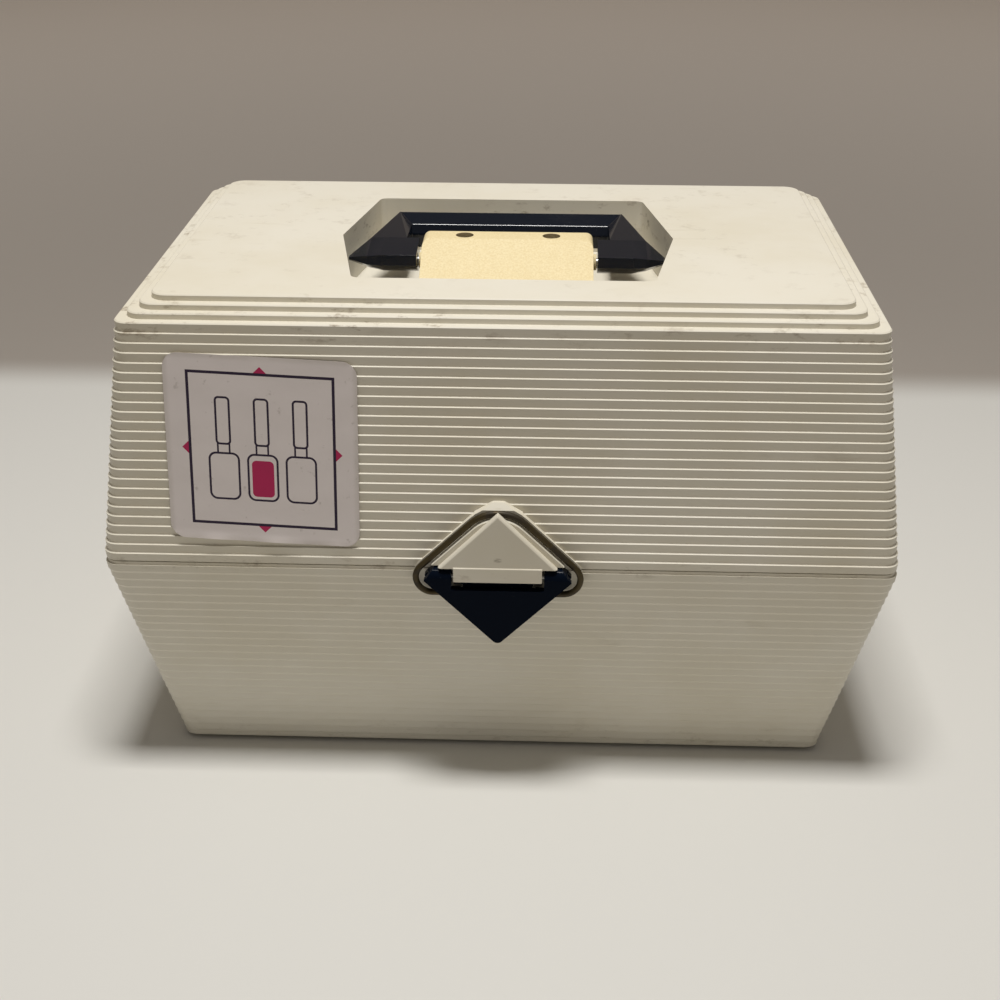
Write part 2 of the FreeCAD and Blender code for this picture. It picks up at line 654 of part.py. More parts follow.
neck_inset = sizes.bail_wire + sizes.seat_gap
into_wall = -(places.half_depth - 2 * sizes.keeper_thick - places.rim_inset)
neck_foot = places.lever_top + sizes.seat_gap
neck = shaped("keeper_neck", between(
    bail_outline(neck_inset, neck_foot), places.keeper_back, into_wall))
lid_pad = shaped("lid_pad", between(
    bail_outline(-sizes.pad_margin, places.lid_foot), places.pad_y, into_wall))
base_pad_face = bail_outline(-sizes.pad_margin, places.bail_z - 2 * sizes.bail_corner)
base_pad_face = base_pad_face.cut(Part.makePlane(
    sizes.case_width, sizes.case_width, V(-places.half_width, 0, places.base_top),
    V(0, -1, 0), V(1, 0, 0)))
base_pad = shaped("base_pad", between(base_pad_face, places.pad_y, into_wall))
bump_foot = sizes.bail_apex_z - sizes.bail_apex_round / 2
bump_side = sizes.bump_top_z - sizes.bump_fall
bump_face = Part.Face(Part.makePolygon([
    V(-sizes.bump_half_foot, 0, bump_foot), V(sizes.bump_half_foot, 0, bump_foot),
    V(sizes.bump_half_foot, 0, bump_side), V(sizes.bump_half_top, 0, sizes.bump_top_z),
    V(-sizes.bump_half_top, 0, sizes.bump_top_z), V(-sizes.bump_half_foot, 0, bump_side),
    V(-sizes.bump_half_foot, 0, bump_foot)]))
bump_form = between(bump_face, places.bump_y, into_wall)
bump_corners = [edge for edge in bump_form.Edges if edge.BoundBox.YLength > sizes.wall
                and edge.BoundBox.ZMin > sizes.bump_top_z - 0.01]
ramp_low, ramp_high = places.bump_y - sizes.bump_ramp, places.bump_y + 2 * sizes.bump_ramp
ramp_foot = sizes.bump_top_z - 2 * sizes.bump_ramp
ramp_top = sizes.bump_top_z + sizes.bump_ramp
above_ramp = Part.Face(Part.makePolygon([
    V(-sizes.bump_half_foot, ramp_low, ramp_foot), V(-sizes.bump_half_foot, ramp_high, ramp_top),
    V(-sizes.bump_half_foot, ramp_low, ramp_top), V(-sizes.bump_half_foot, ramp_low, ramp_foot)]))
above_ramp = above_ramp.extrude(V(2 * sizes.bump_half_foot, 0, 0))
bump = shaped("lid_bump", bump_form.makeFillet(sizes.bump_round, bump_corners).cut(above_ramp))


# ---------------------------------------------------------------- tray linkage places

def along_arm(share):
    """Offset from the hinge, as (y, z), of a pivot at this share of the arms' length."""
    return -sizes.arm_reach_depth * share, sizes.arm_reach_height * share


def pivot(share, front):
    """Place (y, z) of a pivot on the lid's bracket, or on the front arm."""
    across, up = along_arm(share)
    start = places.base_pivot_y if front else places.hinge_y
    return start + across, places.seam_z + up


FULL, HALF = 1.0, 0.5
bracket_screw_places = [pivot(sizes.screw_share_low, False), pivot(sizes.screw_share_high, False)]


def x_rod(start_x, length, spot, radius):
    """Plain cylinder along X, on a (y, z) spot."""
    return Part.makeCylinder(radius, length, V(start_x, *spot), X_AXIS)


def other_side(shape):
    """Mirror image, for the left side, of a shape on the right side."""
    return shape.mirror(V(), X_AXIS)


def link_plate(ends, holes):
    """Flat steel link with round ends at two (y, z) spots, bored at the holes."""
    (y1, z1), (y2, z2) = ends
    radius = sizes.arm_width / 2
    length = math.hypot(y2 - y1, z2 - z1)
    bar = Part.makeBox(sizes.arm_thick, length, sizes.arm_width, V(0, 0, -radius))
    bar.rotate(V(), X_AXIS, math.degrees(math.atan2(z2 - z1, y2 - y1)))
    bar.translate(V(places.arm_x, y1, z1))
    plate = bar
    for spot in ends:
        plate = plate.fuse(x_rod(places.arm_x, sizes.arm_thick, spot, radius))
    plate = plate.removeSplitter()
    for spot, hole in holes:
        plate = plate.cut(x_rod(places.arm_x - 1, sizes.arm_thick + 2, spot, hole))
    return plate


# ---------------------------------------------------------------- lid shell

def screw_boss(spot):
    """Boss on the lid's right wall for a bracket screw, up to the lid's outside."""
    boss = x_rod(places.arm_outer, places.half_width - places.arm_outer, spot, sizes.boss_radius)
    return boss.common(lid_outside.Shape)


bosses = [screw_boss(spot) for spot in bracket_screw_places]
boss_objects = []
pilot_objects = []
for number, (boss, spot) in enumerate(zip(bosses, bracket_screw_places), start=1):
    pilot = x_rod(places.arm_outer - 1, sizes.link_screw_length + 1, spot,
                  sizes.link_screw_radius)
    boss_objects.append(shaped(f"boss_right_{number}", boss))
    boss_objects.append(shaped(f"boss_left_{number}", other_side(boss)))
    pilot_objects.append(shaped(f"pilot_right_{number}", pilot))
    pilot_objects.append(shaped(f"pilot_left_{number}", other_side(pilot)))

block_pilots = []
peg_holes = []
for side, sign in (("left", "-"), ("right", "")):
    block_pilots.append(rod(
        f"block_pilot_{side}", "z",
        (f"{sign}sizes.screw_spacing / 2", "places.block_middle", "places.well_floor - sizes.wall"),
        "sizes.screw_radius", "sizes.wall"))
    peg_holes.append(rod(
        f"peg_hole_{side}", "y",
        (f"{sign}sizes.peg_offset", "places.keeper_back", "sizes.peg_z"),
        "sizes.peg_radius", "sizes.peg_length"))

lid_webs = [piece for piece in lid_knuckles if piece.Name.endswith("web")]
lid_barrels = [piece for piece in lid_knuckles if piece.Name.endswith("barrel")]
lid_skin = cut("lid_skin", fuse("lid_solid", lid_outside, neck, lid_pad, bump, *lid_webs),
               lid_hollow)
lid_full = fuse("lid_full", lid_skin, well_walls, *lid_barrels, *boss_objects)
finish(cut("lid_shell", lid_full, well_space, *turning_holes, *pilot_objects, *block_pilots,
           *peg_holes), "lid_shell")


# ---------------------------------------------------------------- base shell

base_pivot = (places.base_pivot_y, places.seam_z)
lug_x = places.arm_outer + sizes.head_gap
lug_radius = sizes.arm_width / 2
lug_foot = places.base_top - sizes.lug_drop
lug_root = Part.makeBox(places.half_width - lug_x, 2 * lug_radius, sizes.lug_drop * 0.7,
                        V(lug_x, base_pivot[0] - lug_radius, lug_foot))
lug_ear = Part.makeBox(sizes.lug_thick, 2 * lug_radius, places.seam_z - lug_foot,
                       V(lug_x, base_pivot[0] - lug_radius, lug_foot))
lug = lug_ear.fuse(x_rod(lug_x, sizes.lug_thick, base_pivot, lug_radius))
lug = lug.fuse(lug_root.common(base_outside.Shape))
lug = lug.cut(x_rod(lug_x - 1, sizes.lug_thick + 2, base_pivot, sizes.rivet_radius))
lugs = [shaped("arm_lug_right", lug), shaped("arm_lug_left", other_side(lug))]

foot_holes, foot_pads, foot_stems = [], [], []
for name, across, along in (("front_left", "-", "-"), ("front_right", "", "-"),
                            ("back_left", "-", ""), ("back_right", "", "")):
    spot = (f"{across}(places.half_width - sizes.base_taper - sizes.foot_inset)",
            f"{along}(places.half_depth - sizes.base_taper - sizes.foot_inset)")
    foot_pads.append(rod(f"foot_pad_{name}", "z", (*spot, "0"),
                         "sizes.foot_radius", "sizes.foot_drop"))
    foot_stems.append(rod(f"foot_stem_{name}", "z", (*spot, "0"),
                          "sizes.foot_spigot", "sizes.foot_drop + sizes.wall"))
    foot_holes.append(rod(f"foot_hole_{name}", "z", (*spot, "sizes.foot_drop"),
                          "sizes.foot_spigot", "sizes.wall"))
finish(fuse("foot_set", *foot_pads, *foot_stems), "feet")

base_webs = [piece for piece in base_knuckles if piece.Name.endswith("web")]
base_barrels = [piece for piece in base_knuckles if piece.Name.endswith("barrel")]
base_skin = cut("base_skin", fuse("base_solid", base_outside, base_pad, *base_webs), base_hollow)
base_full = fuse("base_full", base_skin, base_lip, *base_barrels, *lugs)
mount_screw_holes, mount_screws = [], []
for side, sign in (("left", "-"), ("right", "")):
    spot = f"{sign}sizes.mount_screw_offset"
    head_start = "-places.mount_screw_seat"
    mount_screws.append(rod(f"mount_screw_head_{side}", "y",
                            (spot, head_start, "sizes.mount_screw_z"),
                            "sizes.mount_head_radius", "sizes.mount_head_rise"))
    shank = (spot, "places.mount_front + sizes.mount_screw_stop", "sizes.mount_screw_z")
    length = "-places.mount_screw_seat - places.mount_front - sizes.mount_screw_stop"
    mount_screws.append(rod(f"mount_screw_shank_{side}", "y", shank,
                            "sizes.screw_radius", length))
    mount_screw_holes.append(rod(f"mount_screw_hole_{side}", "y", shank,
                                 "sizes.screw_radius", length))
    seat = box(f"mount_screw_boss_{side}",
               (f"{spot} - sizes.mount_head_radius", "-places.half_depth + 2 * sizes.wall / 3",
                "sizes.mount_screw_z - sizes.mount_head_radius"),
               ("2 * sizes.mount_head_radius",
                "places.half_depth - 2 * sizes.wall / 3 - places.mount_screw_seat",
                "2 * sizes.mount_head_radius"))
    lugs.append(common(f"mount_screw_seat_{side}", seat, base_outside))
base_full.Shapes = base_full.Shapes + lugs[2:]
finish(fuse("mount_screw_set", *mount_screws), "latch_mount_screws")
finish(cut("base_shell", base_full, *tight_holes, *foot_holes, *mount_screw_holes), "base_shell")


# ---------------------------------------------------------------- latch

def xz_prism(name, points, front, back):
    """Outline of (x, z) points in the XZ plane, from one y to another."""
    spots = [V(across, 0, up) for across, up in points]
    return shaped(name, between(Part.Face(Part.makePolygon(spots + spots[:1])), front, back))


mount_knuckle = rod("mount_knuckle", "x", ("-sizes.mount_half", "places.latch_y", "places.latch_z"),
                    "sizes.mount_knuckle", "2 * sizes.mount_half")
mount_head = box("mount_head", ("-sizes.mount_half", "places.latch_y - sizes.mount_knuckle / 2",
                                "sizes.mount_step_z"),
                 ("2 * sizes.mount_half",
                  "-places.half_depth + sizes.wall - places.latch_y + sizes.mount_knuckle / 2",
                  "places.latch_z - sizes.mount_step_z"))
mount_neck = box("mount_neck", ("-sizes.mount_neck_half", "places.mount_front", "sizes.mount_foot_z"),
                 ("2 * sizes.mount_neck_half",
                  "-places.half_depth + 2 * sizes.wall - places.mount_front",
                  "sizes.mount_step_z - sizes.mount_foot_z + 0.5"))
latch_hole = rod("latch_pin_hole", "x", ("-sizes.lever_half", "places.latch_y", "places.latch_z"),
                 "sizes.latch_pin_radius", "2 * sizes.lever_half")
base_outer_skin = fuse("base_outer_skin", base_outside, base_pad)
finish(cut("latch_mount_body", fuse("mount_solid", mount_knuckle, mount_head, mount_neck),
           base_outer_skin, latch_hole, *mount_screw_holes), "latch_mount")

finish(rod("latch_pin_rod", "x",
           ("-(sizes.lever_half - sizes.latch_pin_recess)", "places.latch_y", "places.latch_z"),
           "sizes.latch_pin_radius", "2 * (sizes.lever_half - sizes.latch_pin_recess)"),
       "latch_pin")

lever_outline = xz_prism("lever_outline", [
    (0, sizes.lever_tip_z), (sizes.lever_half, sizes.shoulder_z),
    (sizes.shoulder_half, places.lever_top + 0.1), (sizes.lever_inner, places.lever_top + 0.1),
    (sizes.lever_inner, places.plate_top), (-sizes.lever_inner, places.plate_top),
    (-sizes.lever_inner, places.lever_top + 0.1), (-sizes.shoulder_half, places.lever_top + 0.1),
    (-sizes.lever_half, sizes.shoulder_z)], places.lever_front - 1, -places.half_depth)
tip_edges = [edge for edge in lever_outline.Shape.Edges
             if edge.BoundBox.YLength > 1 and edge.BoundBox.ZMax < sizes.lever_tip_z + 0.01]
lever_outline.Shape = lever_outline.Shape.makeFillet(sizes.lever_tip_round, tip_edges)
lever_barrel = rod("lever_barrel", "x", ("-sizes.lever_half", "places.latch_y", "places.latch_z"),
                   "sizes.latch_barrel", "2 * sizes.lever_half")
lever_plate = box("lever_plate", ("-sizes.lever_half", "places.lever_front",
                                  "sizes.lever_tip_z - 1"),
                  ("2 * sizes.lever_half", "sizes.lever_plate",
                   "places.latch_z - sizes.lever_tip_z + 1"))
lever_form = common("lever_form", fuse("lever_solid", lever_barrel, lever_plate), lever_outline)
lever_lugs, bail_end_holes = [], []
for side, sign in (("left", "-"), ("right", "")):
    start = "-sizes.bail_lug_outer" if sign else "sizes.bail_lug_inner"
    length = "sizes.bail_lug_outer - sizes.bail_lug_inner"
    lever_lugs.append(rod(f"bail_lug_{side}", "x", (start, "places.bail_y", "places.bail_z"),
                          "sizes.bail_lug_radius", length))
    lever_lugs.append(box(f"bail_lug_root_{side}",
                          (start, "places.plate_back - sizes.lever_plate / 2",
                           "places.bail_z - sizes.bail_lug_radius"),
                          (length, "places.bail_y - places.plate_back + sizes.lever_plate / 2",
                           "2 * sizes.bail_lug_radius")))
    bail_end_holes.append(rod(f"bail_hole_{side}", "x",
                              (start if sign else "sizes.bail_end", "places.bail_y",
                               "places.bail_z"),
                              "sizes.bail_wire + sizes.turning_gap",
                              "sizes.bail_lug_outer - sizes.bail_end"))
lever_bore = rod("lever_bore", "x", ("-sizes.lever_half", "places.latch_y", "places.latch_z"),
                 "sizes.latch_pin_radius + sizes.turning_gap", "2 * sizes.lever_half")
finish(cut("lever_body", fuse("lever_full", lever_form, *lever_lugs), lever_bore,
           *bail_end_holes), "latch_lever")


def bail_shape():
    """Open wire bail: two ends turned in, round corners and a round top."""
    arc_end, side_end, half_way, bottom, apex = bail_side(0)
    end = V(sizes.bail_end + sizes.turning_gap, 0, bottom.z)
    edges = [
        Part.LineSegment(end, bottom).toShape(),
        Part.Arc(bottom, half_way, side_end).toShape(),
        Part.LineSegment(side_end, arc_end).toShape(),
        Part.Arc(arc_end, apex, mirrored(arc_end)).toShape(),
        Part.LineSegment(mirrored(arc_end), mirrored(side_end)).toShape(),
        Part.Arc(mirrored(side_end), mirrored(half_way), mirrored(bottom)).toShape(),
        Part.LineSegment(mirrored(bottom), mirrored(end)).toShape(),
    ]
    ring = Part.Wire(Part.makeCircle(sizes.bail_wire, end, X_AXIS))
    wire = Part.Wire(edges).makePipeShell([ring], True, False)
    wire.translate(V(0, places.bail_y, 0))
    return wire


finish(shaped("bail_wire_form", bail_shape()), "latch_bail")

keeper_face = [(-sizes.keeper_half, sizes.keeper_foot_z), (sizes.keeper_half, sizes.keeper_foot_z),
               (0, sizes.keeper_apex_z)]
keeper_plate = xz_prism("keeper_plate", keeper_face, places.keeper_front, places.keeper_back)
front_slopes = [edge for edge in keeper_plate.Shape.Edges
                if edge.BoundBox.YMax < places.keeper_front + 0.01
                and edge.BoundBox.ZLength > 1]
keeper_plate.Shape = keeper_plate.Shape.makeChamfer(sizes.keeper_bevel, front_slopes)
keeper_tab = box("keeper_tab", ("-sizes.tab_half", "places.tab_front", "sizes.tab_foot_z"),
                 ("2 * sizes.tab_half", "sizes.tab_thick",
                  "sizes.keeper_foot_z + sizes.tab_overlap - sizes.tab_foot_z"))
keeper_pegs = []
for side, sign in (("left", "-"), ("right", "")):
    keeper_pegs.append(rod(f"keeper_peg_{side}", "y",
                           (f"{sign}sizes.peg_offset", "places.keeper_back", "sizes.peg_z"),
                           "sizes.peg_radius", "sizes.peg_length"))
finish(fuse("keeper_body", keeper_plate, keeper_tab, *keeper_pegs), "latch_keeper")


# ---------------------------------------------------------------- handle

block_profile = profile("block_profile", "YZ_Plane", [
    ("sizes.block_back", "places.well_floor"), ("sizes.block_back", "places.block_top"),
    ("places.block_front", "places.block_top"), ("places.block_toe_y", "places.block_toe_z"),
    ("places.block_toe_y", "places.well_floor")], "-places.block_half", "sizes.block_width")
corner_edges = [
    f"Edge{number}" for number, edge in enumerate(block_profile.Shape.Edges, start=1)
    if edge.BoundBox.XLength < 0.01 and edge.BoundBox.ZMax > places.block_top - 0.01
    and edge.BoundBox.ZLength < 0.01]
rounding = block_profile.newObject("PartDesign::Fillet", "block_rounding")
rounding.Base = (doc.getObject("block_profile_pad"), corner_edges)
rounding.setExpression("Radius", "sizes.block_round")
doc.recompute()
block_holes, block_screws, pin_holes, handle_pins, collars = [], [], [], [], []
for side, sign in (("left", "-"), ("right", "")):
    spot = (f"{sign}sizes.screw_spacing / 2", "places.block_middle")
    block_holes.append(rod(f"block_counterbore_{side}", "z", (*spot, "places.screw_seat_z"),
                           "sizes.screw_hole", "sizes.well_depth"))
    block_holes.append(rod(f"block_hole_{side}", "z", (*spot, "places.well_floor"),
                           "sizes.screw_radius", "sizes.screw_seat"))
    block_screws.append(rod(f"block_screw_head_{side}", "z", (*spot, "places.screw_seat_z"),
                            "sizes.screw_head_radius", "sizes.screw_head_rise"))
    block_screws.append(rod(f"block_screw_shank_{side}", "z",
                            (*spot, "places.well_floor - sizes.wall"),
                            "sizes.screw_radius", "sizes.wall + sizes.screw_seat"))
    pin_length = "sizes.pin_in_block + sizes.handle_gap + sizes.pin_in_handle"
    pin_start = (f"-places.block_half - sizes.handle_gap - sizes.pin_in_handle" if sign
                 else "places.block_half - sizes.pin_in_block")
    pin_holes.append(rod(f"pin_hole_{side}", "x", (pin_start, "sizes.pivot_y", "places.pivot_z"),
                         "sizes.pivot_pin_radius", pin_length))
    handle_pins.append(rod(f"pivot_pin_{side}", "x", (pin_start, "sizes.pivot_y", "places.pivot_z"),
                           "sizes.pivot_pin_radius", pin_length))
    collar_start = "-places.block_half - sizes.collar_length" if sign else "places.block_half"
    collars.append(rod(f"pivot_collar_{side}", "x",
                       (collar_start, "sizes.pivot_y", "places.pivot_z"),
                       "sizes.collar_radius", "sizes.collar_length"))
finish(cut("block_body", fuse("block_full", block_profile, *collars), *block_holes, *pin_holes),
       "handle_block")
finish(fuse("block_screw_set", *block_screws), "handle_block_screws")
finish(fuse("pivot_pin_set", *handle_pins), "handle_pins")


def polyhedron(corners, faces):
    """Solid from corners and the triangles or quads between them."""
    sheets = []
    for face in faces:
        ring = [corners[key] for key in face]
        sheets.append(Part.Face(Part.makePolygon(ring + ring[:1])))
    solid = Part.Solid(Part.Shell(sheets))
    if solid.Volume < 0:
        solid.reverse()
    return solid


def section(across, outline):
    """Closed outline of (y, depth below the top panel) corners, at one x."""
    spots = [V(across, along, places.top_z - drop) for along, drop in outline]
    return Part.makePolygon(spots + spots[:1])


def handle_shape():
    """Grip bar, two faceted arms and two pointed end blocks, folded down into the well."""
    back, top_drop, low_drop = sizes.grip_back, sizes.grip_drop, sizes.grip_drop + sizes.grip_thick
    slope_y, slope_drop = back - sizes.grip_width + 1.5, sizes.grip_drop + sizes.grip_slope
    grip = [(back, top_drop), (slope_y, slope_drop), (slope_y - 1.5, slope_drop + 3.5),
            (slope_y, low_drop), (back - 1.5, low_drop), (back + 0.5, top_drop + 6)]
    bar = Part.Face(section(-sizes.grip_half, grip)).extrude(V(2 * sizes.grip_half, 0, 0))

    inner = places.block_half + sizes.handle_gap
    unit = sizes.handle_unit
    shoulder, knee = sizes.tip_half_width - 12.5 * unit, sizes.tip_half_width - 7.5 * unit

    def facets(*outline):
        return [(unit * along, unit * drop) for along, drop in outline]

    end = facets((5, 3), (-10.8, 5), (-11.5, 8.6), (-6.5, 11.4), (-1.5, 13.6), (2.5, 13.6),
                 (6, 9))
    bend = facets((5, 3.2), (-9.9, 5.7), (-10.6, 8.7), (-6.2, 11), (-1.6, 12.6), (1.5, 12.6),
                  (5.4, 9))
    tip = facets((-2, 8.1), (-3.6, 8.1), (-3.8, 8.7), (-3.5, 9.1), (-3, 9.3), (-2.4, 9.3),
                 (-1.9, 8.7))
    block = Part.Face(section(inner, end)).extrude(V(shoulder - inner, 0, 0))
    outer = Part.makeLoft([section(shoulder, end), section(knee, bend)], True, True)
    point = Part.makeLoft([section(knee, bend), section(sizes.tip_half_width, tip)], True, True)

    def corner(across, along, drop):
        return V(across, along, places.top_z - drop)

    waist = inner + 4.6 * unit
    corners = {
        "A": corner(sizes.grip_half, back, top_drop),
        "a": corner(sizes.grip_half, back - unit, low_drop),
        "B": corner(knee, 5 * unit, 3.2 * unit), "b": corner(knee - unit, 5 * unit, 12.5 * unit),
        "C": corner(waist, 5 * unit, 3 * unit), "c": corner(waist, 5 * unit, 12.5 * unit),
        "D": corner(waist, slope_y, slope_drop), "d": corner(waist, slope_y, low_drop),
        "E": corner(waist, unit, 4 * unit), "e": corner(waist, unit, 12.5 * unit),
        "F": corner(knee - 2 * unit, unit, 4 * unit),
        "f": corner(knee - 3 * unit, unit, 12.5 * unit),
    }
    arm = polyhedron(corners, [
        "ABC", "ACD", "abc", "acd", "ABb", "Aba", "AaD", "aDd", "DCc", "Ddc",
        "BCE", "BEF", "bce", "bef", "EFf", "Eef", "CcE", "ceE", "BbF", "bFf"])
    right = [block, outer, point, arm]
    left = [other_side(piece) for piece in right]
    whole = bar.multiFuse(right + left).removeSplitter()
    bore = sizes.pivot_pin_radius + sizes.turning_gap
    depth = sizes.pin_in_handle + sizes.turning_gap
    hole = x_rod(inner - 1, depth + 1, (sizes.pivot_y, places.pivot_z), bore)
    return whole.cut(hole).cut(other_side(hole))


finish(shaped("handle_form", handle_shape()), "handle")


# ---------------------------------------------------------------- label

def label_shape():
    """Thin sticker with round corners, laid on the ribs and turned a little."""
    plate = Part.makeBox(sizes.label_width, sizes.label_thick, sizes.label_height,
                         V(-sizes.label_width / 2, -sizes.label_thick, -sizes.label_height / 2))
    rims = [edge for edge in plate.Edges if edge.BoundBox.YLength > sizes.label_thick / 2
            and edge.BoundBox.XLength < 1e-3 and edge.BoundBox.ZLength < 1e-3]
    plate = plate.makeFillet(sizes.label_round, rims)
    slope = sizes.lid_ledge / sizes.lid_pitch
    first_shoulder = places.seam_z + sizes.lid_pitch - sizes.rib_bevel
    face_y = -(places.half_depth - slope * (sizes.label_z - first_shoulder))
    lean = FreeCAD.Rotation(X_AXIS, -math.degrees(math.atan(slope)))
    turn = FreeCAD.Rotation(V(0, 1, 0), sizes.label_turn)
    plate.Placement = FreeCAD.Placement(
        V(places.label_x, face_y - sizes.label_lift, sizes.label_z), lean.multiply(turn))
    return plate


finish(shaped("label_plate", label_shape()), "label")


# ---------------------------------------------------------------- trays and their linkage

def rivet(spot, inner_face, outer_face):
    """Rivet along X, with a head against each of the two faces."""
    shape = x_rod(inner_face, outer_face - inner_face, spot, sizes.rivet_radius)
    for start in (inner_face - sizes.rivet_rise, outer_face):
        shape = shape.fuse(x_rod(start, sizes.rivet_rise, spot, sizes.rivet_head))
    return shape


def build_tray(name, foot, back_ref, share):
    """Open tray with its rivet holes, its drop-in divider grid and its four rivets."""
    back = value("places." + back_ref)
    body = doc.addObject("PartDesign::Body", name + "_form")
    sketch = body.newObject("Sketcher::SketchObject", name + "_plan")
    origin = next(item for item in body.Origin.OriginFeatures if item.Role == "XY_Plane")
    sketch.AttachmentSupport = [(origin, "")]
    sketch.MapMode = "FlatFace"
    sketch.setExpression("AttachmentOffset.Base.z", "places." + foot)
    spots = [("-places.tray_half", "places.tray_front"), ("places.tray_half", "places.tray_front"),
             ("places.tray_half", "places." + back_ref), ("-places.tray_half", "places." + back_ref)]
    constrain_outline(sketch, spots)
    pad = body.newObject("PartDesign::Pad", name + "_pad")
    pad.Profile = sketch
    pad.setExpression("Length", "sizes.tray_height")
    doc.recompute()
    fillet = body.newObject("PartDesign::Fillet", name + "_corners")
    fillet.Base = (pad, upright_edges(pad.Shape))
    fillet.setExpression("Radius", "sizes.tray_round")
    doc.recompute()
    top = max(range(len(fillet.Shape.Faces)), key=lambda n: fillet.Shape.Faces[n].CenterOfMass.z)
    hollow = body.newObject("PartDesign::Thickness", name + "_hollow")
    hollow.Base = (fillet, [f"Face{top + 1}"])
    hollow.setExpression("Value", "sizes.tray_wall")
    hollow.Reversed = 1
    doc.recompute()

    spots = [pivot(share, False), pivot(share, True)]
    holes, rivets = [], []
    for number, spot in enumerate(spots, start=1):
        hole = x_rod(places.tray_half - 2 * sizes.tray_wall, 3 * sizes.tray_wall, spot,
                     sizes.rivet_radius)
        shank = rivet(spot, places.tray_half - sizes.tray_wall, lug_x)
        collar_length = sizes.arm_gap - sizes.head_gap
        shank = shank.fuse(x_rod(places.tray_half, collar_length, spot, sizes.collar_radius))
        for side in (lambda shape: shape, other_side):
            holes.append(shaped(f"{name}_hole_{number}", side(hole)))
            rivets.append(shaped(f"{name}_rivet_{number}", side(shank)))
    finish(cut(name + "_body", body, *holes), name)
    finish(fuse(name + "_rivet_set", *rivets), name + "_rivets")

    middle = (places.tray_front + back) / 2
    inside_x = places.tray_half - sizes.tray_wall - sizes.divider_gap
    floor = value("places." + foot) + sizes.tray_wall
    height = sizes.tray_height - sizes.tray_wall - sizes.divider_drop
    front_y = places.tray_front + sizes.tray_wall + sizes.divider_gap
    back_y = back - sizes.tray_wall - sizes.divider_gap
    grid = Part.makeBox(2 * inside_x, sizes.divider, height,
                        V(-inside_x, middle - sizes.divider / 2, floor))
    cells = int(value("sizes." + name + "_cells"))
    for number in range(1, cells):
        across = -inside_x + number * 2 * inside_x / cells - sizes.divider / 2
        grid = grid.fuse(Part.makeBox(sizes.divider, back_y - front_y, height,
                                      V(across, front_y, floor)))
    for spot in spots:
        room = x_rod(inside_x - 3 * sizes.rivet_rise, 4 * sizes.rivet_rise, spot,
                     sizes.rivet_head + sizes.seat_gap)
        grid = grid.cut(room).cut(other_side(room))
    finish(shaped(name + "_grid", grid.removeSplitter()), name + "_dividers")


build_tray("lower_tray", "lower_tray_z", "lower_tray_back", HALF)
build_tray("upper_tray", "upper_tray_z", "upper_tray_back", FULL)

turning = sizes.rivet_radius + sizes.turning_gap
loose = sizes.rivet_radius + sizes.open_gap
arm = link_plate([base_pivot, pivot(FULL, True)], [
    (base_pivot, turning), (pivot(HALF, True), loose), (pivot(FULL, True), loose)])
bracket = link_plate([pivot(HALF, False), bracket_screw_places[1]], [
    (pivot(HALF, False), turning), (pivot(FULL, False), turning),
    (bracket_screw_places[0], sizes.link_screw_radius),
    (bracket_screw_places[1], sizes.link_screw_radius)])
for side, turned in (("right", lambda shape: shape), ("left", other_side)):
    finish(shaped(f"tray_arm_{side}_plate", turned(arm)), f"tray_arm_{side}")
    finish(shaped(f"lid_bracket_{side}_plate", turned(bracket)), f"lid_bracket_{side}")

base_rivet = rivet(base_pivot, places.arm_x - sizes.head_gap, lug_x + sizes.lug_thick)
finish(fuse("base_rivet_set", shaped("base_rivet_right", base_rivet),
            shaped("base_rivet_left", other_side(base_rivet))), "arm_pivot_rivets")

link_screws = []
for number, spot in enumerate(bracket_screw_places, start=1):
    screw = x_rod(places.arm_x, sizes.arm_thick + sizes.link_screw_length, spot,
                  sizes.link_screw_radius)
    screw = screw.fuse(x_rod(places.arm_x - sizes.rivet_rise, sizes.rivet_rise, spot,
                             sizes.rivet_head))
    link_screws.append(shaped(f"link_screw_right_{number}", screw))
    link_screws.append(shaped(f"link_screw_left_{number}", other_side(screw)))
finish(fuse("link_screw_set", *link_screws), "bracket_screws")


# ---------------------------------------------------------------- dividers in the base

def base_grid():
    """One long wall and cross walls that stand on the base's floor and follow its taper."""
    room = stack([
        (sizes.base_taper + sizes.wall + 2 * sizes.divider_gap, inner_radius(),
         sizes.foot_drop + sizes.wall),
        (sizes.wall + 2 * sizes.divider_gap, inner_radius(), places.base_top)])
    floor = sizes.foot_drop + sizes.wall
    height = sizes.base_divider_z - floor
    walls = Part.makeBox(sizes.case_width, sizes.divider, height,
                         V(-places.half_width, -sizes.divider / 2, floor))
    cells = int(sizes.base_cells)
    for number in range(1, cells):
        across = (number / cells - 0.5) * 2 * (places.half_width - sizes.base_taper)
        walls = walls.fuse(Part.makeBox(sizes.divider, sizes.case_depth, height,
                                        V(across - sizes.divider / 2, -places.half_depth, floor)))
    return walls.common(room).removeSplitter()


finish(shaped("base_grid", base_grid()), "base_dividers")


# ---------------------------------------------------------------- writing the sub-parts

def check_and_write():
    doc.recompute()
    failed = [o.Name for o in doc.Objects if {"Invalid", "Error"} & set(o.State)]
    failed += [o.Label for o in finished if o.Shape.isNull() or not o.Shape.isValid()]
    if failed:
        raise RuntimeError("failed objects: " + ", ".join(failed))
    os.makedirs("parts", exist_ok=True)
    for obj in finished:
        obj.Shape.exportStep(os.path.join("parts", obj.Label + ".step"))
        print(obj.Label, len(obj.Shape.Solids), round(obj.Shape.Volume))


check_and_write()
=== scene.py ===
"""Finishes, softened edges, sticker, stage, lamps and camera for the ribbed carry case."""

import json
import math

import bmesh
import bpy
from bpy.props import FloatProperty, FloatVectorProperty, PointerProperty
from mathutils import Matrix, Vector

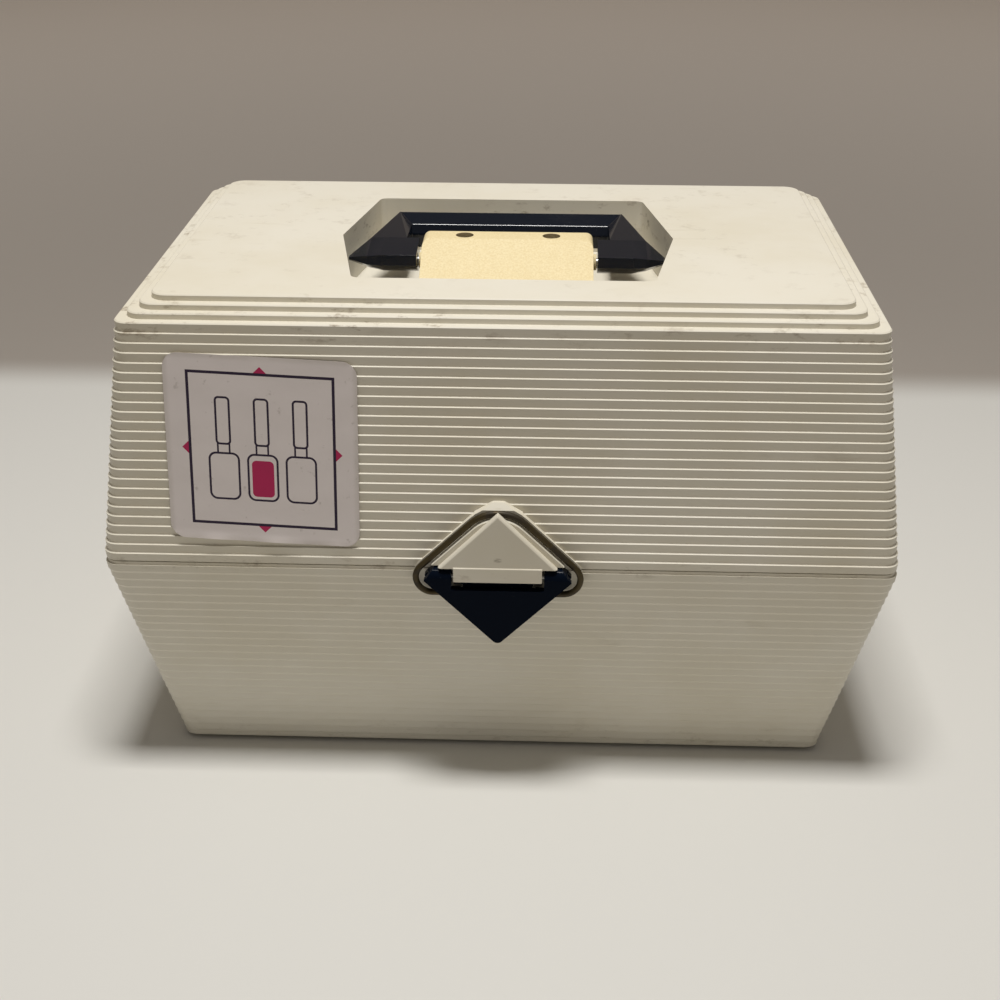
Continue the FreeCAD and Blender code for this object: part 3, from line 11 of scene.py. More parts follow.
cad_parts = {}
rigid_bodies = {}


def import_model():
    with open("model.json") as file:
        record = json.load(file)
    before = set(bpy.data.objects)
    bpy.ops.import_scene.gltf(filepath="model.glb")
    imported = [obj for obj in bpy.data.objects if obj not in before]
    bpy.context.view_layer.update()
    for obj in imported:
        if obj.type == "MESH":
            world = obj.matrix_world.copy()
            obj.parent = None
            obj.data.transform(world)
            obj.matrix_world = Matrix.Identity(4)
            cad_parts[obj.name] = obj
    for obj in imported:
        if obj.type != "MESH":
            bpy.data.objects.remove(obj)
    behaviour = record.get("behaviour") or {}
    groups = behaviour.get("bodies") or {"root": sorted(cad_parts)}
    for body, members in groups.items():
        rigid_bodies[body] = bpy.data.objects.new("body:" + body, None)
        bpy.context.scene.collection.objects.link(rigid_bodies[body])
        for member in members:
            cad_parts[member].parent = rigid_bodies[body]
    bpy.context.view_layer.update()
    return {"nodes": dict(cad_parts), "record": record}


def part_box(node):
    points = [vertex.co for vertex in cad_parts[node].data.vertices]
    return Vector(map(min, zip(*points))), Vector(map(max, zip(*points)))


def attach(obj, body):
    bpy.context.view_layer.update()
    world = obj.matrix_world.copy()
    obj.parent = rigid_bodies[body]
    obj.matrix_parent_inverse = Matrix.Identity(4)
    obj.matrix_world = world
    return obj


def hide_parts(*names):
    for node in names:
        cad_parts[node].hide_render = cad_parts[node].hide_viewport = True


bl_info = {
    "name": "Ribbed Carry Case",
    "version": (1, 0, 0),
    "blender": (4, 5, 0),
    "location": "View3D > Sidebar > Carry Case",
    "description": "Dresses a ribbed carry case with its finishes, sticker, stage and camera",
    "category": "Object",
}

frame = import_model()

MM = 0.001

# Each rib of the lid stands this far behind the rib under it, over its own height.
RIB_SETBACK = 0.367 * MM
RIB_HEIGHT = 3.244 * MM

# Heights over the floor where dirt gathers.
LID_RIM = 162.7 * MM
SEAM = 81.6 * MM

# The scar in the keeper's face: its height, the plane it lies in front of, and how flat it is.
SCAR_HEIGHT = 88.3 * MM
SCAR_PLANE = -95 * MM
SCAR_FLATNESS = 3

# The two screw wells of the handle's block, inside which shade is painted: their x either side, y
# and radius.
SCREW_WELLS = (15.7 * MM, 2.2 * MM, 3.25 * MM)

# Edges that turn by more than this many degrees are rounded over, and those longer than
# LONG_EDGE may be rounded more.
SHARP_TURN = 20.0
LONG_EDGE = 60 * MM


# ---------------------------------------------------------------- shader maths

class Field:
    """A shader value that Python's operators combine into Math nodes."""

    def __init__(self, finish, socket):
        self.finish = finish
        self.socket = socket

    def maths(self, operation, *values):
        return self.finish.node("ShaderNodeMath", {"operation": operation},
                                dict(enumerate(values)))

    def __add__(self, other):
        return self.maths("ADD", self, other)

    def __sub__(self, other):
        return self.maths("SUBTRACT", self, other)

    def __rsub__(self, other):
        return self.maths("SUBTRACT", other, self)

    def __mul__(self, other):
        return self.maths("MULTIPLY", self, other)

    def __gt__(self, other):
        return self.maths("GREATER_THAN", self, other)

    def __lt__(self, other):
        return self.maths("LESS_THAN", self, other)

    def __abs__(self):
        return self.maths("ABSOLUTE", self)

    __radd__ = __add__
    __rmul__ = __mul__

    def root(self):
        return self.maths("SQRT", self)

    def least(self, other):
        return self.maths("MINIMUM", self, other)

    def most(self, other):
        return self.maths("MAXIMUM", self, other)

    def eased(self, low, high):
        """0 below low and 1 above high, with a smooth step between them."""
        return self.finish.node(
            "ShaderNodeMapRange", {"interpolation_type": "SMOOTHSTEP"},
            {"Value": self, "From Min": low, "From Max": high})


class Finish:
    """A material whose nodes are made by calls."""

    def __init__(self, name, **sockets):
        self.material = bpy.data.materials.new(name)
        self.material.use_nodes = True
        self.tree = self.material.node_tree
        self.shader = self.tree.nodes["Principled BSDF"]
        self.place = self.node("ShaderNodeTexCoord", {}, {}, "Object")
        for socket, value in sockets.items():
            self.set({"ior": "IOR"}.get(socket, socket.title()), value)

    def node(self, kind, settings, sockets, output=0):
        made = self.tree.nodes.new(kind)
        for name, value in settings.items():
            setattr(made, name, value)
        for key, value in sockets.items():
            self.feed(made.inputs[key], value)
        return Field(self, made.outputs[output])

    def feed(self, socket, value):
        if isinstance(value, Field):
            self.tree.links.new(value.socket, socket)
        else:
            socket.default_value = value

    def set(self, name, value):
        if name.endswith("Color") and not isinstance(value, Field):
            value = (*value, 1.0)
        self.feed(self.shader.inputs[name], value)

    def axes(self):
        split = self.node("ShaderNodeSeparateXYZ", {}, {0: self.place}).socket.node
        return [Field(self, socket) for socket in split.outputs]

    def stretched(self, x=1.0, y=1.0, z=1.0):
        return self.node("ShaderNodeMapping", {}, {"Vector": self.place, "Scale": (x, y, z)})

    def noise(self, scale, detail=3.0, roughness=0.5, where=None, shift=0.0):
        """Noise from 0 to 1, with about scale features to the metre."""
        where = where or self.place
        if shift:
            where = self.node("ShaderNodeVectorMath", {"operation": "ADD"},
                              {0: where, 1: (shift, shift * 0.7, shift * 1.3)})
        return self.node("ShaderNodeTexNoise", {},
                         {"Vector": where, "Scale": scale, "Detail": detail,
                          "Roughness": roughness})

    def mix(self, amount, first, second):
        """Colour between first and second."""
        sides = {}
        for key, colour in ((6, first), (7, second)):
            sides[key] = colour if isinstance(colour, Field) else (*colour, 1.0)
        return self.node("ShaderNodeMix", {"data_type": "RGBA"}, {0: amount, **sides}, 2)

    def bump(self, height, depth, strength=1.0):
        """Raises the surface by height times depth, in metres."""
        made = self.node("ShaderNodeBump", {},
                         {"Height": height, "Distance": depth, "Strength": strength})
        self.set("Normal", made)

    def dress(self, *nodes):
        for name in nodes:
            piece = frame["nodes"][name] if isinstance(name, str) else name
            piece.data.materials.clear()
            piece.data.materials.append(self.material)


def moulded_finish(name, fresh, aged, grime=0.0):
    """Satin moulded plastic with slow colour change, fine scuffs and handling dirt."""
    finish = Finish(name, ior=1.48)
    cloud = finish.noise(16, 4, 0.6)
    colour = finish.mix(cloud.eased(0.35, 0.75), fresh, aged)
    streak = finish.noise(95, 4, 0.62, finish.stretched(0.35, 1.6, 1.0), 3.1)
    patch = finish.noise(22, 2, 0.5, shift=5.7)
    scuff = streak.eased(0.60, 0.74) * patch.eased(0.42, 0.62)
    colour = finish.mix(scuff * 0.22, colour, (0.42, 0.36, 0.27))
    if grime:
        x, y, z = finish.axes()
        rim = 1 - abs(z - LID_RIM).eased(1 * MM, 9 * MM)
        foot = 1 - z.eased(2 * MM, 16 * MM)
        rise = z - SCAR_HEIGHT
        spot = (x * x + rise * rise * SCAR_FLATNESS).root()
        scar = (1 - spot.eased(0.6 * MM, 1.9 * MM)) * (y < SCAR_PLANE)
        seam = 1 - abs(z - SEAM).eased(0.5 * MM, 4 * MM)
        speck = finish.noise(210, 4, 0.7, finish.stretched(0.6, 0.6, 1.4), 8.3)
        near = (rim * 0.9).most(foot * 0.35).most(seam * 0.6)
        dirt = speck.eased(0.54, 0.72) * near * patch.eased(0.30, 0.60)
        colour = finish.mix(dirt * grime, colour, (0.20, 0.135, 0.07))
        scar = scar * speck.eased(0.34, 0.56)
        colour = finish.mix(scar * 0.75, colour, (0.16, 0.12, 0.08))
    finish.set("Base Color", colour)
    satin = finish.noise(1500, 2, 0.5)
    finish.set("Roughness", 0.40 + 0.12 * cloud + 0.2 * scuff)
    wave = finish.noise(30, 1, 0.4, shift=1.9)
    finish.bump(satin * 0.02 + wave * 0.5, 0.0003, 0.35)
    return finish


def gloss_finish(name, colour, sheen):
    """Glossy dark plastic with fine scratches, dust and rubbed patches."""
    finish = Finish(name, ior=1.5)
    finish.set("Specular IOR Level", sheen)
    cloud = finish.noise(45, 4, 0.6)
    scratch = finish.noise(520, 3, 0.6, finish.stretched(0.12, 1.0, 1.0))
    dust = finish.noise(1100, 2, 0.5, shift=2.2).eased(0.66, 0.76)
    rubbed = cloud.eased(0.52, 0.70)
    worn = dust * rubbed
    shade = finish.mix(worn * 0.5, colour, (0.12, 0.125, 0.14))
    finish.set("Base Color", shade)
    finish.set("Roughness", 0.09 + 0.16 * rubbed + 0.08 * scratch + 0.3 * worn)
    finish.bump(scratch + cloud * 2, 0.00003, 0.5)
    return finish


def grained_finish(name, light, dark):
    """Yellowed plastic with a fine moulded grain and painted shade in its screw wells."""
    finish = Finish(name, ior=1.48)
    x, y = finish.axes()[:2]
    across, along, radius = SCREW_WELLS
    out_x, out_y = abs(x) - across, y - along
    well_shade = (out_x * out_x + out_y * out_y).root() < radius
    grain = finish.noise(1500, 3, 0.65)
    cloud = finish.noise(40, 3, 0.5, shift=4.0)
    colour = finish.mix(grain.eased(0.30, 0.70) * 0.7 + cloud * 0.3, dark, light)
    # Painted shade: the inside of each screw well is darkened to brown, standing in for the
    # shadow in the hole.
    colour = finish.mix(well_shade * 0.7, colour, (0.30, 0.22, 0.11))
    finish.set("Base Color", colour)
    finish.set("Roughness", 0.48 + 0.2 * grain)
    finish.bump(grain, 0.00022, 0.75)
    return finish


def wire_finish(name, metal, tarnish):
    """Drawn wire whose plating has dulled in patches."""
    finish = Finish(name)
    cloud = finish.noise(160, 4, 0.65)
    pit = finish.noise(1400, 2, 0.6)
    spot = cloud.eased(0.42, 0.62)
    finish.set("Base Color", finish.mix(spot, metal, tarnish))
    finish.set("Metallic", 0.6 - 0.3 * spot)
    finish.set("Roughness", 0.38 + 0.15 * spot + 0.1 * pit)
    finish.bump(pit, 0.00005, 0.6)
    return finish


def steel_finish(name, metal):
    """Zinc-plated steel with drawn lines and faint white bloom."""
    finish = Finish(name, metallic=1.0)
    line = finish.noise(700, 3, 0.6, finish.stretched(1.0, 0.08, 1.0))
    bloom = finish.noise(240, 4, 0.6, shift=6.0).eased(0.5, 0.75)
    finish.set("Base Color", finish.mix(bloom * 0.5, metal, (0.74, 0.73, 0.70)))
    finish.set("Roughness", 0.28 + 0.18 * line + 0.2 * bloom)
    finish.bump(line, 0.00003, 0.5)
    return finish


def rubber_finish(name, colour):
    """Soft rubber with a dusty grain."""
    finish = Finish(name, ior=1.45)
    grain = finish.noise(1300, 3, 0.6)
    cloud = finish.noise(150, 3, 0.6, shift=2.0)
    finish.set("Base Color", finish.mix(cloud * 0.6, colour, [0.7 * part for part in colour]))
    finish.set("Roughness", 0.72 + 0.15 * grain)
    finish.bump(grain, 0.0001, 0.6)
    return finish


# ---------------------------------------------------------------- modelling helpers

def deselect():
    for other in bpy.context.view_layer.objects:
        other.select_set(False)


def only(piece):
    """Leaves piece alone selected and active."""
    deselect()
    piece.select_set(True)
    bpy.context.view_layer.objects.active = piece


def apply_modifier(piece, kind, **settings):
    only(piece)
    modifier = piece.modifiers.new(kind.title(), kind)
    for name, value in settings.items():
        setattr(modifier, name, value)
    bpy.ops.object.modifier_apply(modifier=modifier.name)


def smooth(piece, angle):
    """Shades the piece smooth where its faces turn by less than the angle in degrees."""
    only(piece)
    bpy.ops.object.shade_smooth_by_angle(angle=math.radians(angle))


def pick_edges(piece, wanted):
    """Selects the edges of the piece, in edit mode, for which wanted is true."""
    bpy.ops.mesh.select_mode(type="EDGE")
    bpy.ops.mesh.select_all(action="DESELECT")
    mesh = bmesh.from_edit_mesh(piece.data)
    for edge in mesh.edges:
        edge.select = wanted(edge)
    mesh.select_flush(True)
    bmesh.update_edit_mesh(piece.data)


def is_sharp(edge):
    """Whether an edge is an outer one that turns by more than SHARP_TURN."""
    return edge.calc_face_angle_signed(0.0) > math.radians(SHARP_TURN)


def softened(node, name, width, segments=3, crest=0.0):
    """A copy of a frame node whose outer edges are rounded over, standing for the node.

    Its longest edges are first rounded by the crest, where one is given.
    """
    source = frame["nodes"][node]
    record = frame["record"]
    body = next(body for body, held in record["behaviour"]["bodies"].items() if node in held)
    piece = bpy.data.objects.new(name, source.data.copy())
    bpy.context.scene.collection.objects.link(piece)
    only(piece)
    bpy.ops.object.mode_set(mode="EDIT")
    bpy.ops.mesh.select_all(action="SELECT")
    bpy.ops.mesh.remove_doubles(threshold=2e-6)
    bpy.ops.mesh.dissolve_limited(angle_limit=math.radians(0.6))
    if crest:
        pick_edges(piece, lambda edge: is_sharp(edge) and edge.calc_length() > LONG_EDGE)
        bpy.ops.mesh.bevel(offset=crest, segments=6, clamp_overlap=True)
    pick_edges(piece, is_sharp)
    bpy.ops.mesh.bevel(offset=width, segments=segments, clamp_overlap=True)
    bpy.ops.object.mode_set(mode="OBJECT")
    smooth(piece, 34)
    apply_modifier(piece, "WEIGHTED_NORMAL", keep_sharp=True, weight=80)
    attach(piece, body)
    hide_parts(node)
    return piece


# ---------------------------------------------------------------- settings

def colour_property(name, description, default):
    return FloatVectorProperty(name=name, description=description, default=default,
                               subtype="COLOR", size=3, min=0.0, max=1.0)


class CaseFinishes(bpy.types.PropertyGroup):
    """Colours of the case's plastics, metals and sticker"""
    ivory: colour_property("Ivory", "Shell plastic where it is clean", (0.74, 0.70, 0.60))
    ivory_aged: colour_property("Aged ivory", "Shell plastic where it has aged",
                                (0.69, 0.64, 0.52))
    tray_ivory: colour_property("Tray", "Plastic of the trays and dividers",
                                (0.73, 0.69, 0.59))
    navy: colour_property("Navy", "Glossy plastic of handle and latch", (0.0028, 0.0052, 0.0115))
    cream: colour_property("Cream", "Light part of the handle block's grain",
                           (0.84, 0.725, 0.455))
    cream_dark: colour_property("Dark cream", "Dark part of the handle block's grain",
                                (0.70, 0.56, 0.29))
    bronze: colour_property("Bronze", "Latch wire where it shines", (0.066, 0.048, 0.019))
    tarnish: colour_property("Tarnish", "Latch wire where it is dull", (0.031, 0.022, 0.010))
    steel: colour_property("Steel", "Pins, rivets, screws and arms", (0.60, 0.60, 0.585))
    rubber: colour_property("Rubber", "Feet", (0.38, 0.35, 0.28))
    film: colour_property("Film", "Sticker film", (0.73, 0.667, 0.645))
    ink: colour_property("Ink", "Dark print on the sticker", (0.018, 0.008, 0.030))
    accent: colour_property("Accent", "Bright print on the sticker", (0.42, 0.012, 0.085))


class CaseSizes(bpy.types.PropertyGroup):
    """Sizes of the pieces that this file shapes"""
    edge_round: FloatProperty(
        name="Edge rounding", description="Rounding of the handle's edges",
        default=0.8 * MM, unit="LENGTH")
    grip_round: FloatProperty(
        name="Grip rounding", description="Rounding of the grip's long edges",
        default=1.2 * MM, unit="LENGTH")
    latch_round: FloatProperty(
        name="Latch rounding", description="Rounding of the latch lever's edges",
        default=0.45 * MM, unit="LENGTH")
    film_width: FloatProperty(
        name="Sticker width", description="Width of the sticker", default=62.6 * MM,
        unit="LENGTH")
    film_height: FloatProperty(
        name="Sticker height", description="Height of the sticker along the lid",
        default=62.8 * MM, unit="LENGTH")
    film_turn: FloatProperty(
        name="Sticker turn", description="How far the sticker is turned clockwise",
        default=math.radians(1.4), subtype="ANGLE")
    film_skew: FloatProperty(
        name="Sticker skew", description="How far the sticker is out of square",
        default=math.radians(1.1), subtype="ANGLE")
    film_lift: FloatProperty(
        name="Edge lift", description="How far the sticker's lower edge stands off",
        default=0.55 * MM, unit="LENGTH")


class CaseStudio(bpy.types.PropertyGroup):
    """Floor, lamps and camera"""
    floor: colour_property("Floor", "Colour of the floor", (0.68, 0.67, 0.635))
    backdrop: colour_property("Backdrop", "Colour of the ground round the floor",
                              (0.345, 0.31, 0.275))
    far: colour_property("Far backdrop", "Colour of the ground far off", (0.95, 0.87, 0.79))
    top_power: FloatProperty(
        name="Top lamp", description="Power of the lamp overhead", default=14.0,
        unit="POWER")
    sky: FloatProperty(name="Sky", description="Strength of the even light", default=0.19)
    lens: FloatProperty(name="Lens", description="Focal length in millimetres", default=57.1,
                        min=1.0)


# ---------------------------------------------------------------- operators

class CASE_OT_camera(bpy.types.Operator):
    """Sets the camera in front of the case, a little above it"""
    bl_idname = "case.camera"
    bl_label = "Camera"

    place = Vector((0.01585, -0.55748, 0.32943))
    pitch, yaw, roll = 0.4463, -0.033, 0.0032

    def execute(self, context):
        pitch, yaw, roll = self.pitch, self.yaw, self.roll
        ahead = Vector((math.sin(yaw) * math.cos(pitch), math.cos(yaw) * math.cos(pitch),
                        -math.sin(pitch)))
        level = Vector((math.cos(yaw), -math.sin(yaw), 0.0))
        rise = level.cross(ahead)
        right = math.cos(roll) * level + math.sin(roll) * rise
        up = -math.sin(roll) * level + math.cos(roll) * rise
        lens = bpy.data.cameras.new("case_camera")
        lens.lens = context.scene.case_studio.lens
        lens.sensor_width = 36.0
        lens.clip_start = 0.01
        camera = bpy.data.objects.new("case_camera", lens)
        turn = Matrix((right, up, -ahead)).transposed().to_4x4()
        camera.matrix_world = Matrix.Translation(self.place) @ turn
        context.scene.collection.objects.link(camera)
        context.scene.camera = camera
        return {"FINISHED"}


class CASE_OT_stage(bpy.types.Operator):
    """Lays a pale floor, with a wall far behind the case"""
    bl_idname = "case.stage"
    bl_label = "Stage"

    width, middle, height = 6.0, -0.6, 3.5

    def is_back(self, edge):
        """Whether an edge lies along the back of the floor."""
        back = self.middle + self.width / 2
        return all(vert.co.y > back - 0.1 for vert in edge.verts)

    def execute(self, context):
        deselect()
        bpy.ops.mesh.primitive_plane_add(size=self.width, location=(0.0, self.middle, 0.0))
        floor = context.active_object
        floor.name = "studio_floor"
        bpy.ops.object.transform_apply()
        bpy.ops.object.mode_set(mode="EDIT")
        pick_edges(floor, self.is_back)
        bpy.ops.mesh.extrude_region_move(
            TRANSFORM_OT_translate={"value": (0.0, 0.0, self.height)})
        bpy.ops.object.mode_set(mode="OBJECT")
        finish = Finish("studio_floor", roughness=0.7)
        studio = context.scene.case_studio
        x, y = finish.axes()[:2]
        border = (abs(x) * 0.62).most(abs(y)).eased(0.265, 0.315)
        near = finish.mix(border, tuple(studio.floor), tuple(studio.backdrop))
        reach = (x * x + y * y).root()
        finish.set("Base Color", finish.mix(reach.eased(0.4, 1.8), near, tuple(studio.far)))
        finish.dress(floor)
        return {"FINISHED"}


class CASE_OT_lamps(bpy.types.Operator):
    """Hangs the soft lamp overhead and sets the even light"""
    bl_idname = "case.lamps"
    bl_label = "Lamps"

    place = Vector((0.0, -0.16, 1.30))
    aim = Vector((0.0, -0.12, 0.1))
    size = (0.34, 0.24)
    lamp_tint = (1.0, 0.985, 0.96)
    even_tint = (1.0, 0.93, 0.84, 1.0)
    behind_tint = (0.80, 0.79, 0.77, 1.0)

    def execute(self, context):
        self.hang_lamp(context)
        self.light_evenly(context)
        context.scene.view_settings.view_transform = "Standard"
        return {"FINISHED"}

    def hang_lamp(self, context):
        light = bpy.data.lights.new("top_lamp", "AREA")
        light.shape = "RECTANGLE"
        light.size, light.size_y = self.size
        light.energy = context.scene.case_studio.top_power
        light.color = self.lamp_tint
        hung = bpy.data.objects.new("top_lamp", light)
        hung.location = self.place
        hung.rotation_euler = (self.aim - self.place).to_track_quat("-Z", "Y").to_euler()
        context.scene.collection.objects.link(hung)

    def light_evenly(self, context):
        """Even light from all round, behind which a camera sees a pale grey."""
        world = context.scene.world or bpy.data.worlds.new("studio_light")
        context.scene.world = world
        world.use_nodes = True
        tree = world.node_tree
        tree.nodes.clear()
        path = tree.nodes.new("ShaderNodeLightPath")
        seen = tree.nodes.new("ShaderNodeMath")
        seen.operation = "MAXIMUM"
        tree.links.new(path.outputs["Is Camera Ray"], seen.inputs[0])
        tree.links.new(path.outputs["Is Transmission Ray"], seen.inputs[1])
        even = tree.nodes.new("ShaderNodeBackground")
        even.inputs["Color"].default_value = self.even_tint
        even.inputs["Strength"].default_value = context.scene.case_studio.sky
        behind = tree.nodes.new("ShaderNodeBackground")
        behind.inputs["Color"].default_value = self.behind_tint
        behind.inputs["Strength"].default_value = 1.0
        mixed = tree.nodes.new("ShaderNodeMixShader")
        tree.links.new(seen.outputs[0], mixed.inputs[0])
        tree.links.new(even.outputs[0], mixed.inputs[1])
        tree.links.new(behind.outputs[0], mixed.inputs[2])
        out = tree.nodes.new("ShaderNodeOutputWorld")
        tree.links.new(mixed.outputs[0], out.inputs[0])


class CASE_OT_shells(bpy.types.Operator):
    """Gives the lid, base and keeper their aged ivory plastic"""
    bl_idname = "case.shells"
    bl_label = "Shells"

    def execute(self, context):
        tones = context.scene.case_finishes
        ivory = moulded_finish("aged_ivory", tuple(tones.ivory), tuple(tones.ivory_aged), 0.8)
        ivory.dress("lid_shell", "base_shell",
                    softened("latch_keeper", "keeper_plate", 0.25 * MM))
        return {"FINISHED"}


class CASE_OT_handle(bpy.types.Operator):
    """Softens the folding handle and the block that carries it"""
    bl_idname = "case.handle"
    bl_label = "Handle"

    def execute(self, context):
        tones = context.scene.case_finishes
        navy = gloss_finish("navy_gloss", tuple(tones.navy), 0.36)
        sizes = context.scene.case_sizes
        edge = sizes.edge_round
        navy.dress(softened("handle", "folding_grip", edge, crest=sizes.grip_round))
        cream = grained_finish("yellowed_cream", tuple(tones.cream), tuple(tones.cream_dark))
        cream.dress(softened("handle_block", "grip_block", 0.5 * edge))
        return {"FINISHED"}


class CASE_OT_latch(bpy.types.Operator):
    """Softens the latch lever and finishes the latch"""
    bl_idname = "case.latch"
    bl_label = "Latch"

    def execute(self, context):
        tones = context.scene.case_finishes
        navy = gloss_finish("latch_navy", tuple(tones.navy), 0.03)
        edge = context.scene.case_sizes.latch_round
        navy.dress(softened("latch_lever", "lever_plate", edge),
                   softened("latch_mount", "lever_mount", 0.5 * edge))
        wire = wire_finish("tarnished_bronze", tuple(tones.bronze), tuple(tones.tarnish))
        wire.dress("latch_bail")
        return {"FINISHED"}


class CASE_OT_sticker(bpy.types.Operator):
    """Makes the wrinkled sticker with its printed frame and bottles"""
    bl_idname = "case.sticker"
    bl_label = "Sticker"

    corner = 5 * MM
    shift = Vector((-0.35 * MM, 0.0, 0.0))

    # The print, in millimetres from the sticker's middle.
    frame_half = (23.55, 25.55)
    frame_line = 0.95
    mark_reach = 2.6
    bottle_spots = (-12.6, 0.0, 12.6)

    def execute(self, context):
        sizes = context.scene.case_sizes
        width, height = sizes.film_width, sizes.film_height
        deselect()
        bpy.ops.mesh.primitive_grid_add(x_subdivisions=76, y_subdivisions=78, size=1.0)
        film = context.active_object
        film.name = "printed_sticker"
        corner = self.corner
        for vert in film.data.vertices:
            x, y = vert.co.x * width, vert.co.y * height
            reach = Vector((abs(x) - width / 2 + corner, abs(y) - height / 2 + corner))
            if reach.x > 0 and reach.y > 0 and reach.length > corner:
                reach *= corner / reach.length
                x = math.copysign(width / 2 - corner + reach.x, x)
                y = math.copysign(height / 2 - corner + reach.y, y)
            vert.co = (x, y, self.wrinkle(x, y, width, height, sizes.film_lift))
        self.lay_pattern(film, width, height)
        skew = math.tan(sizes.film_skew)
        for vert in film.data.vertices:
            vert.co.x, vert.co.y = vert.co.x - skew * vert.co.y, vert.co.y - skew * vert.co.x
        only(film)
        bpy.ops.object.mode_set(mode="EDIT")
        bpy.ops.mesh.select_all(action="SELECT")
        bpy.ops.mesh.remove_doubles(threshold=1e-5)
        bpy.ops.object.mode_set(mode="OBJECT")
        apply_modifier(film, "SOLIDIFY", thickness=0.12 * MM, offset=-1.0)
        low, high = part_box("label")
        middle = (low + high) / 2 + self.shift
        lean = Matrix.Rotation(math.pi / 2 - math.atan(RIB_SETBACK / RIB_HEIGHT), 4, "X")
        turn = Matrix.Rotation(-sizes.film_turn, 4, "Z")
        film.data.transform(Matrix.Translation(middle) @ lean @ turn)
        smooth(film, 50)
        self.finish(context, width, height).dress(film)
        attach(film, "lid")
        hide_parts("label")
        return {"FINISHED"}

    def wrinkle(self, x, y, width, height, lift):
        """Height of the film over the ribs at a point of it.

        Two crossing waves wrinkle it, its lower edge curls off and its right edge lifts a little.
        """
        wave = 0.03 * MM * math.sin(x * 190 + 1.3 * math.sin(y * 120))
        wave += 0.02 * MM * math.sin(y * 420 + 2.0 * math.sin(x * 90 + 0.7))
        low = max(0.0, 1 - (y + height / 2) / (3.2 * MM))
        curl = low ** 2 * lift * (0.35 + 0.65 * (0.5 + 0.5 * math.sin(x * 310 + 0.4)) ** 2)
        curl *= 1 if x < 0.012 else 0.35
        side = max(0.0, 1 - (width / 2 - x) / (2.0 * MM))
        return wave + curl + side ** 2 * 0.12 * MM

    def lay_pattern(self, film, width, height):
        layer = film.data.uv_layers.active
        for loop in film.data.loops:
            spot = film.data.vertices[loop.vertex_index].co
            layer.data[loop.index].uv = (spot.x / width + 0.5, spot.y / height + 0.5)

    def finish(self, context, width, height):
        """Satin film with a printed frame and three polish bottles."""
        tones = context.scene.case_finishes
        finish = Finish("printed_film", ior=1.46)
        chart = finish.node("ShaderNodeTexCoord", {}, {}, "UV")
        split = finish.node("ShaderNodeSeparateXYZ", {}, {0: chart}).socket.node
        u = (Field(finish, split.outputs[0]) - 0.5) * (width / MM)
        v = (Field(finish, split.outputs[1]) - 0.5) * (height / MM)

        def slab(across, along, half_x, half_y, corner=0.0):
            """How far outside a round-cornered rectangle a point is, in millimetres."""
            out_x = abs(u - across) - (half_x - corner)
            out_y = abs(v - along) - (half_y - corner)
            if not corner:
                return out_x.most(out_y)
            near_x, near_y = out_x.most(0.0), out_y.most(0.0)
            beyond = (near_x * near_x + near_y * near_y).root()
            return beyond + out_x.most(out_y).least(0.0) - corner

        def line(distance, thickness):
            return abs(distance) < thickness / 2

        frame_x, frame_y = self.frame_half
        border = slab(0.0, 0.0, frame_x, frame_y)
        ink = line(border, self.frame_line)
        accent = slab(0.0, -9.6, 3.6, 6.2, 1.5) < 0
        for across in self.bottle_spots:
            ink = ink.most(line(slab(across, -9.2, 4.8, 7.8, 2.2), 0.7))
            ink = ink.most(line(slab(across, 0.2, 1.9, 1.6), 0.6))
            ink = ink.most(line(slab(across, 9.6, 2.2, 7.8, 1.1), 0.7))
        for across, along in ((frame_x, 0.0), (-frame_x, 0.0), (0.0, frame_y), (0.0, -frame_y)):
            mark = abs(u - across) + abs(v - along) < self.mark_reach
            accent = accent.most(mark * (border > 0))
        speck = finish.noise(330, 3, 0.6)
        cloud = finish.noise(60, 3, 0.6, shift=1.1)
        film = finish.mix(cloud * 0.5, tuple(tones.film), [0.86 * part for part in tones.film])
        film = finish.mix(speck.eased(0.63, 0.75) * 0.4, film, (0.30, 0.26, 0.22))
        edge = 1 - (slab(0.0, 0.0, width / MM / 2, height / MM / 2) * -1).eased(0.2, 2.2)
        film = finish.mix(edge * cloud * 0.6, film, (0.40, 0.36, 0.30))
        printed = finish.mix(accent, film, tuple(tones.accent))
        printed = finish.mix(ink, printed, tuple(tones.ink))
        finish.set("Base Color", printed)
        finish.set("Roughness", 0.42 + 0.15 * cloud)
        finish.bump(finish.noise(140, 4, 0.6, shift=3.0), 0.0002, 0.5)
        return finish


class CASE_OT_trays(bpy.types.Operator):
    """Finishes the trays and dividers"""
    bl_idname = "case.trays"
    bl_label = "Trays"

    def execute(self, context):
        tone = tuple(context.scene.case_finishes.tray_ivory)
        worn = tuple(0.93 * part for part in tone)
        plain = moulded_finish("tray_ivory", tone, worn)
        plain.dress("lower_tray", "upper_tray", "lower_tray_dividers",
                    "upper_tray_dividers", "base_dividers")
        return {"FINISHED"}


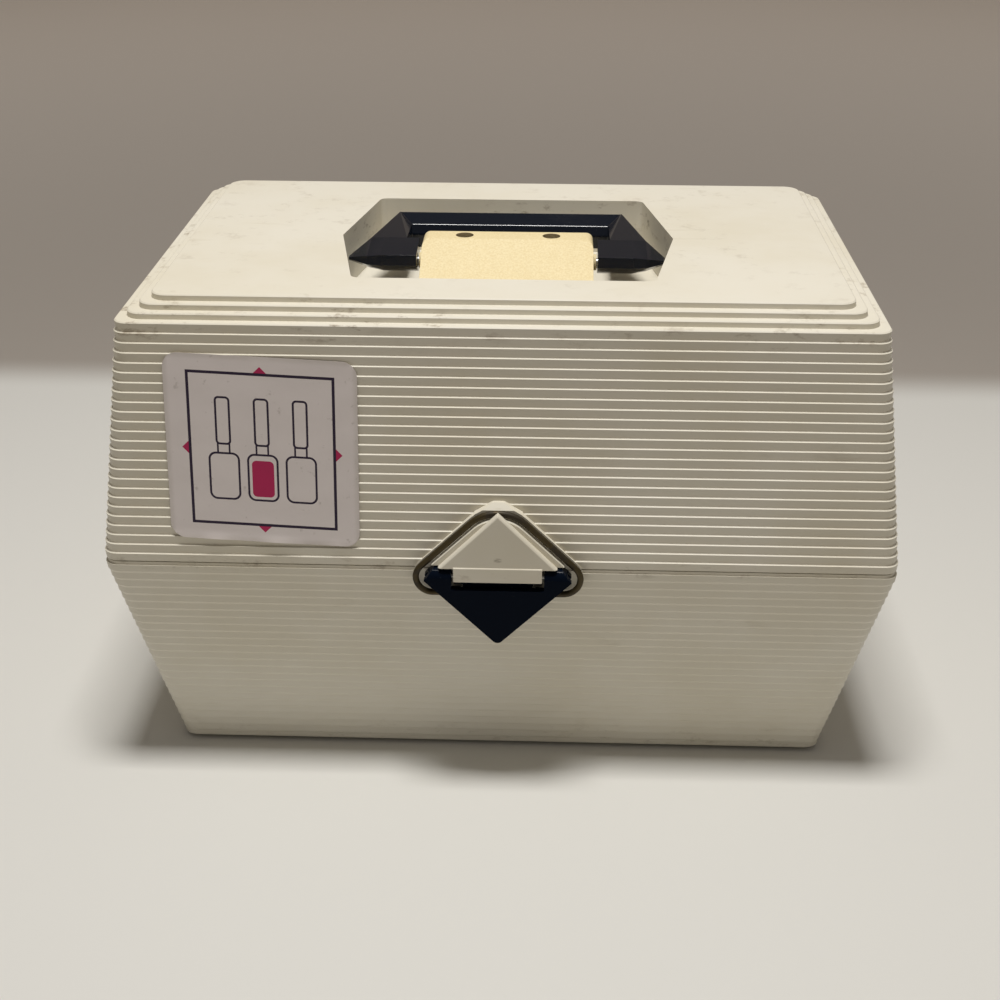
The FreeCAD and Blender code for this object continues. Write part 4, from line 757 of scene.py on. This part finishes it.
class CASE_OT_hardware(bpy.types.Operator):
    """Finishes the feet, pins, rivets, screws, arms and brackets"""
    bl_idname = "case.hardware"
    bl_label = "Hardware"

    def execute(self, context):
        tones = context.scene.case_finishes
        steel = steel_finish("zinc_steel", tuple(tones.steel))
        steel.dress("latch_pin", "handle_pins")
        for node in ("hinge_pins", "latch_mount_screws", "handle_block_screws"):
            steel.dress(softened(node, f"rounded_{node}", 0.4 * MM))
        for node in ("lower_tray_rivets", "upper_tray_rivets", "arm_pivot_rivets",
                     "bracket_screws"):
            steel.dress(softened(node, f"domed_{node}", 0.8 * MM, 5))
        for node in ("tray_arm_left", "tray_arm_right", "lid_bracket_left",
                     "lid_bracket_right"):
            steel.dress(softened(node, f"eased_{node}", 0.3 * MM, 2))
        feet = softened("feet", "rounded_feet", 0.6 * MM, 4)
        rubber_finish("soft_rubber", tuple(tones.rubber)).dress(feet)
        return {"FINISHED"}


class CASE_PT_panel(bpy.types.Panel):
    """Lists the steps that dress the case"""
    bl_idname = "CASE_PT_panel"
    bl_label = "Carry Case"
    bl_space_type = "VIEW_3D"
    bl_region_type = "UI"
    bl_category = "Carry Case"

    def draw(self, context):
        for step in STEPS:
            self.layout.operator(step.bl_idname)
        for group in ("case_finishes", "case_sizes", "case_studio"):
            settings = getattr(context.scene, group)
            for name in settings.bl_rna.properties.keys():
                if name not in ("rna_type", "name"):
                    self.layout.prop(settings, name)


SETTINGS = {"case_finishes": CaseFinishes, "case_sizes": CaseSizes, "case_studio": CaseStudio}
STEPS = (CASE_OT_camera, CASE_OT_stage, CASE_OT_lamps, CASE_OT_shells, CASE_OT_handle,
         CASE_OT_latch, CASE_OT_sticker, CASE_OT_trays, CASE_OT_hardware)


def register():
    for made in (*SETTINGS.values(), *STEPS, CASE_PT_panel):
        bpy.utils.register_class(made)
    for name, group in SETTINGS.items():
        setattr(bpy.types.Scene, name, PointerProperty(type=group))


def unregister():
    for name in SETTINGS:
        delattr(bpy.types.Scene, name)
    for made in reversed((*SETTINGS.values(), *STEPS, CASE_PT_panel)):
        bpy.utils.unregister_class(made)


def main():
    register()
    for step in STEPS:
        group, name = step.bl_idname.split(".")
        getattr(getattr(bpy.ops, group), name)()


if __name__ == "__main__":
    main()
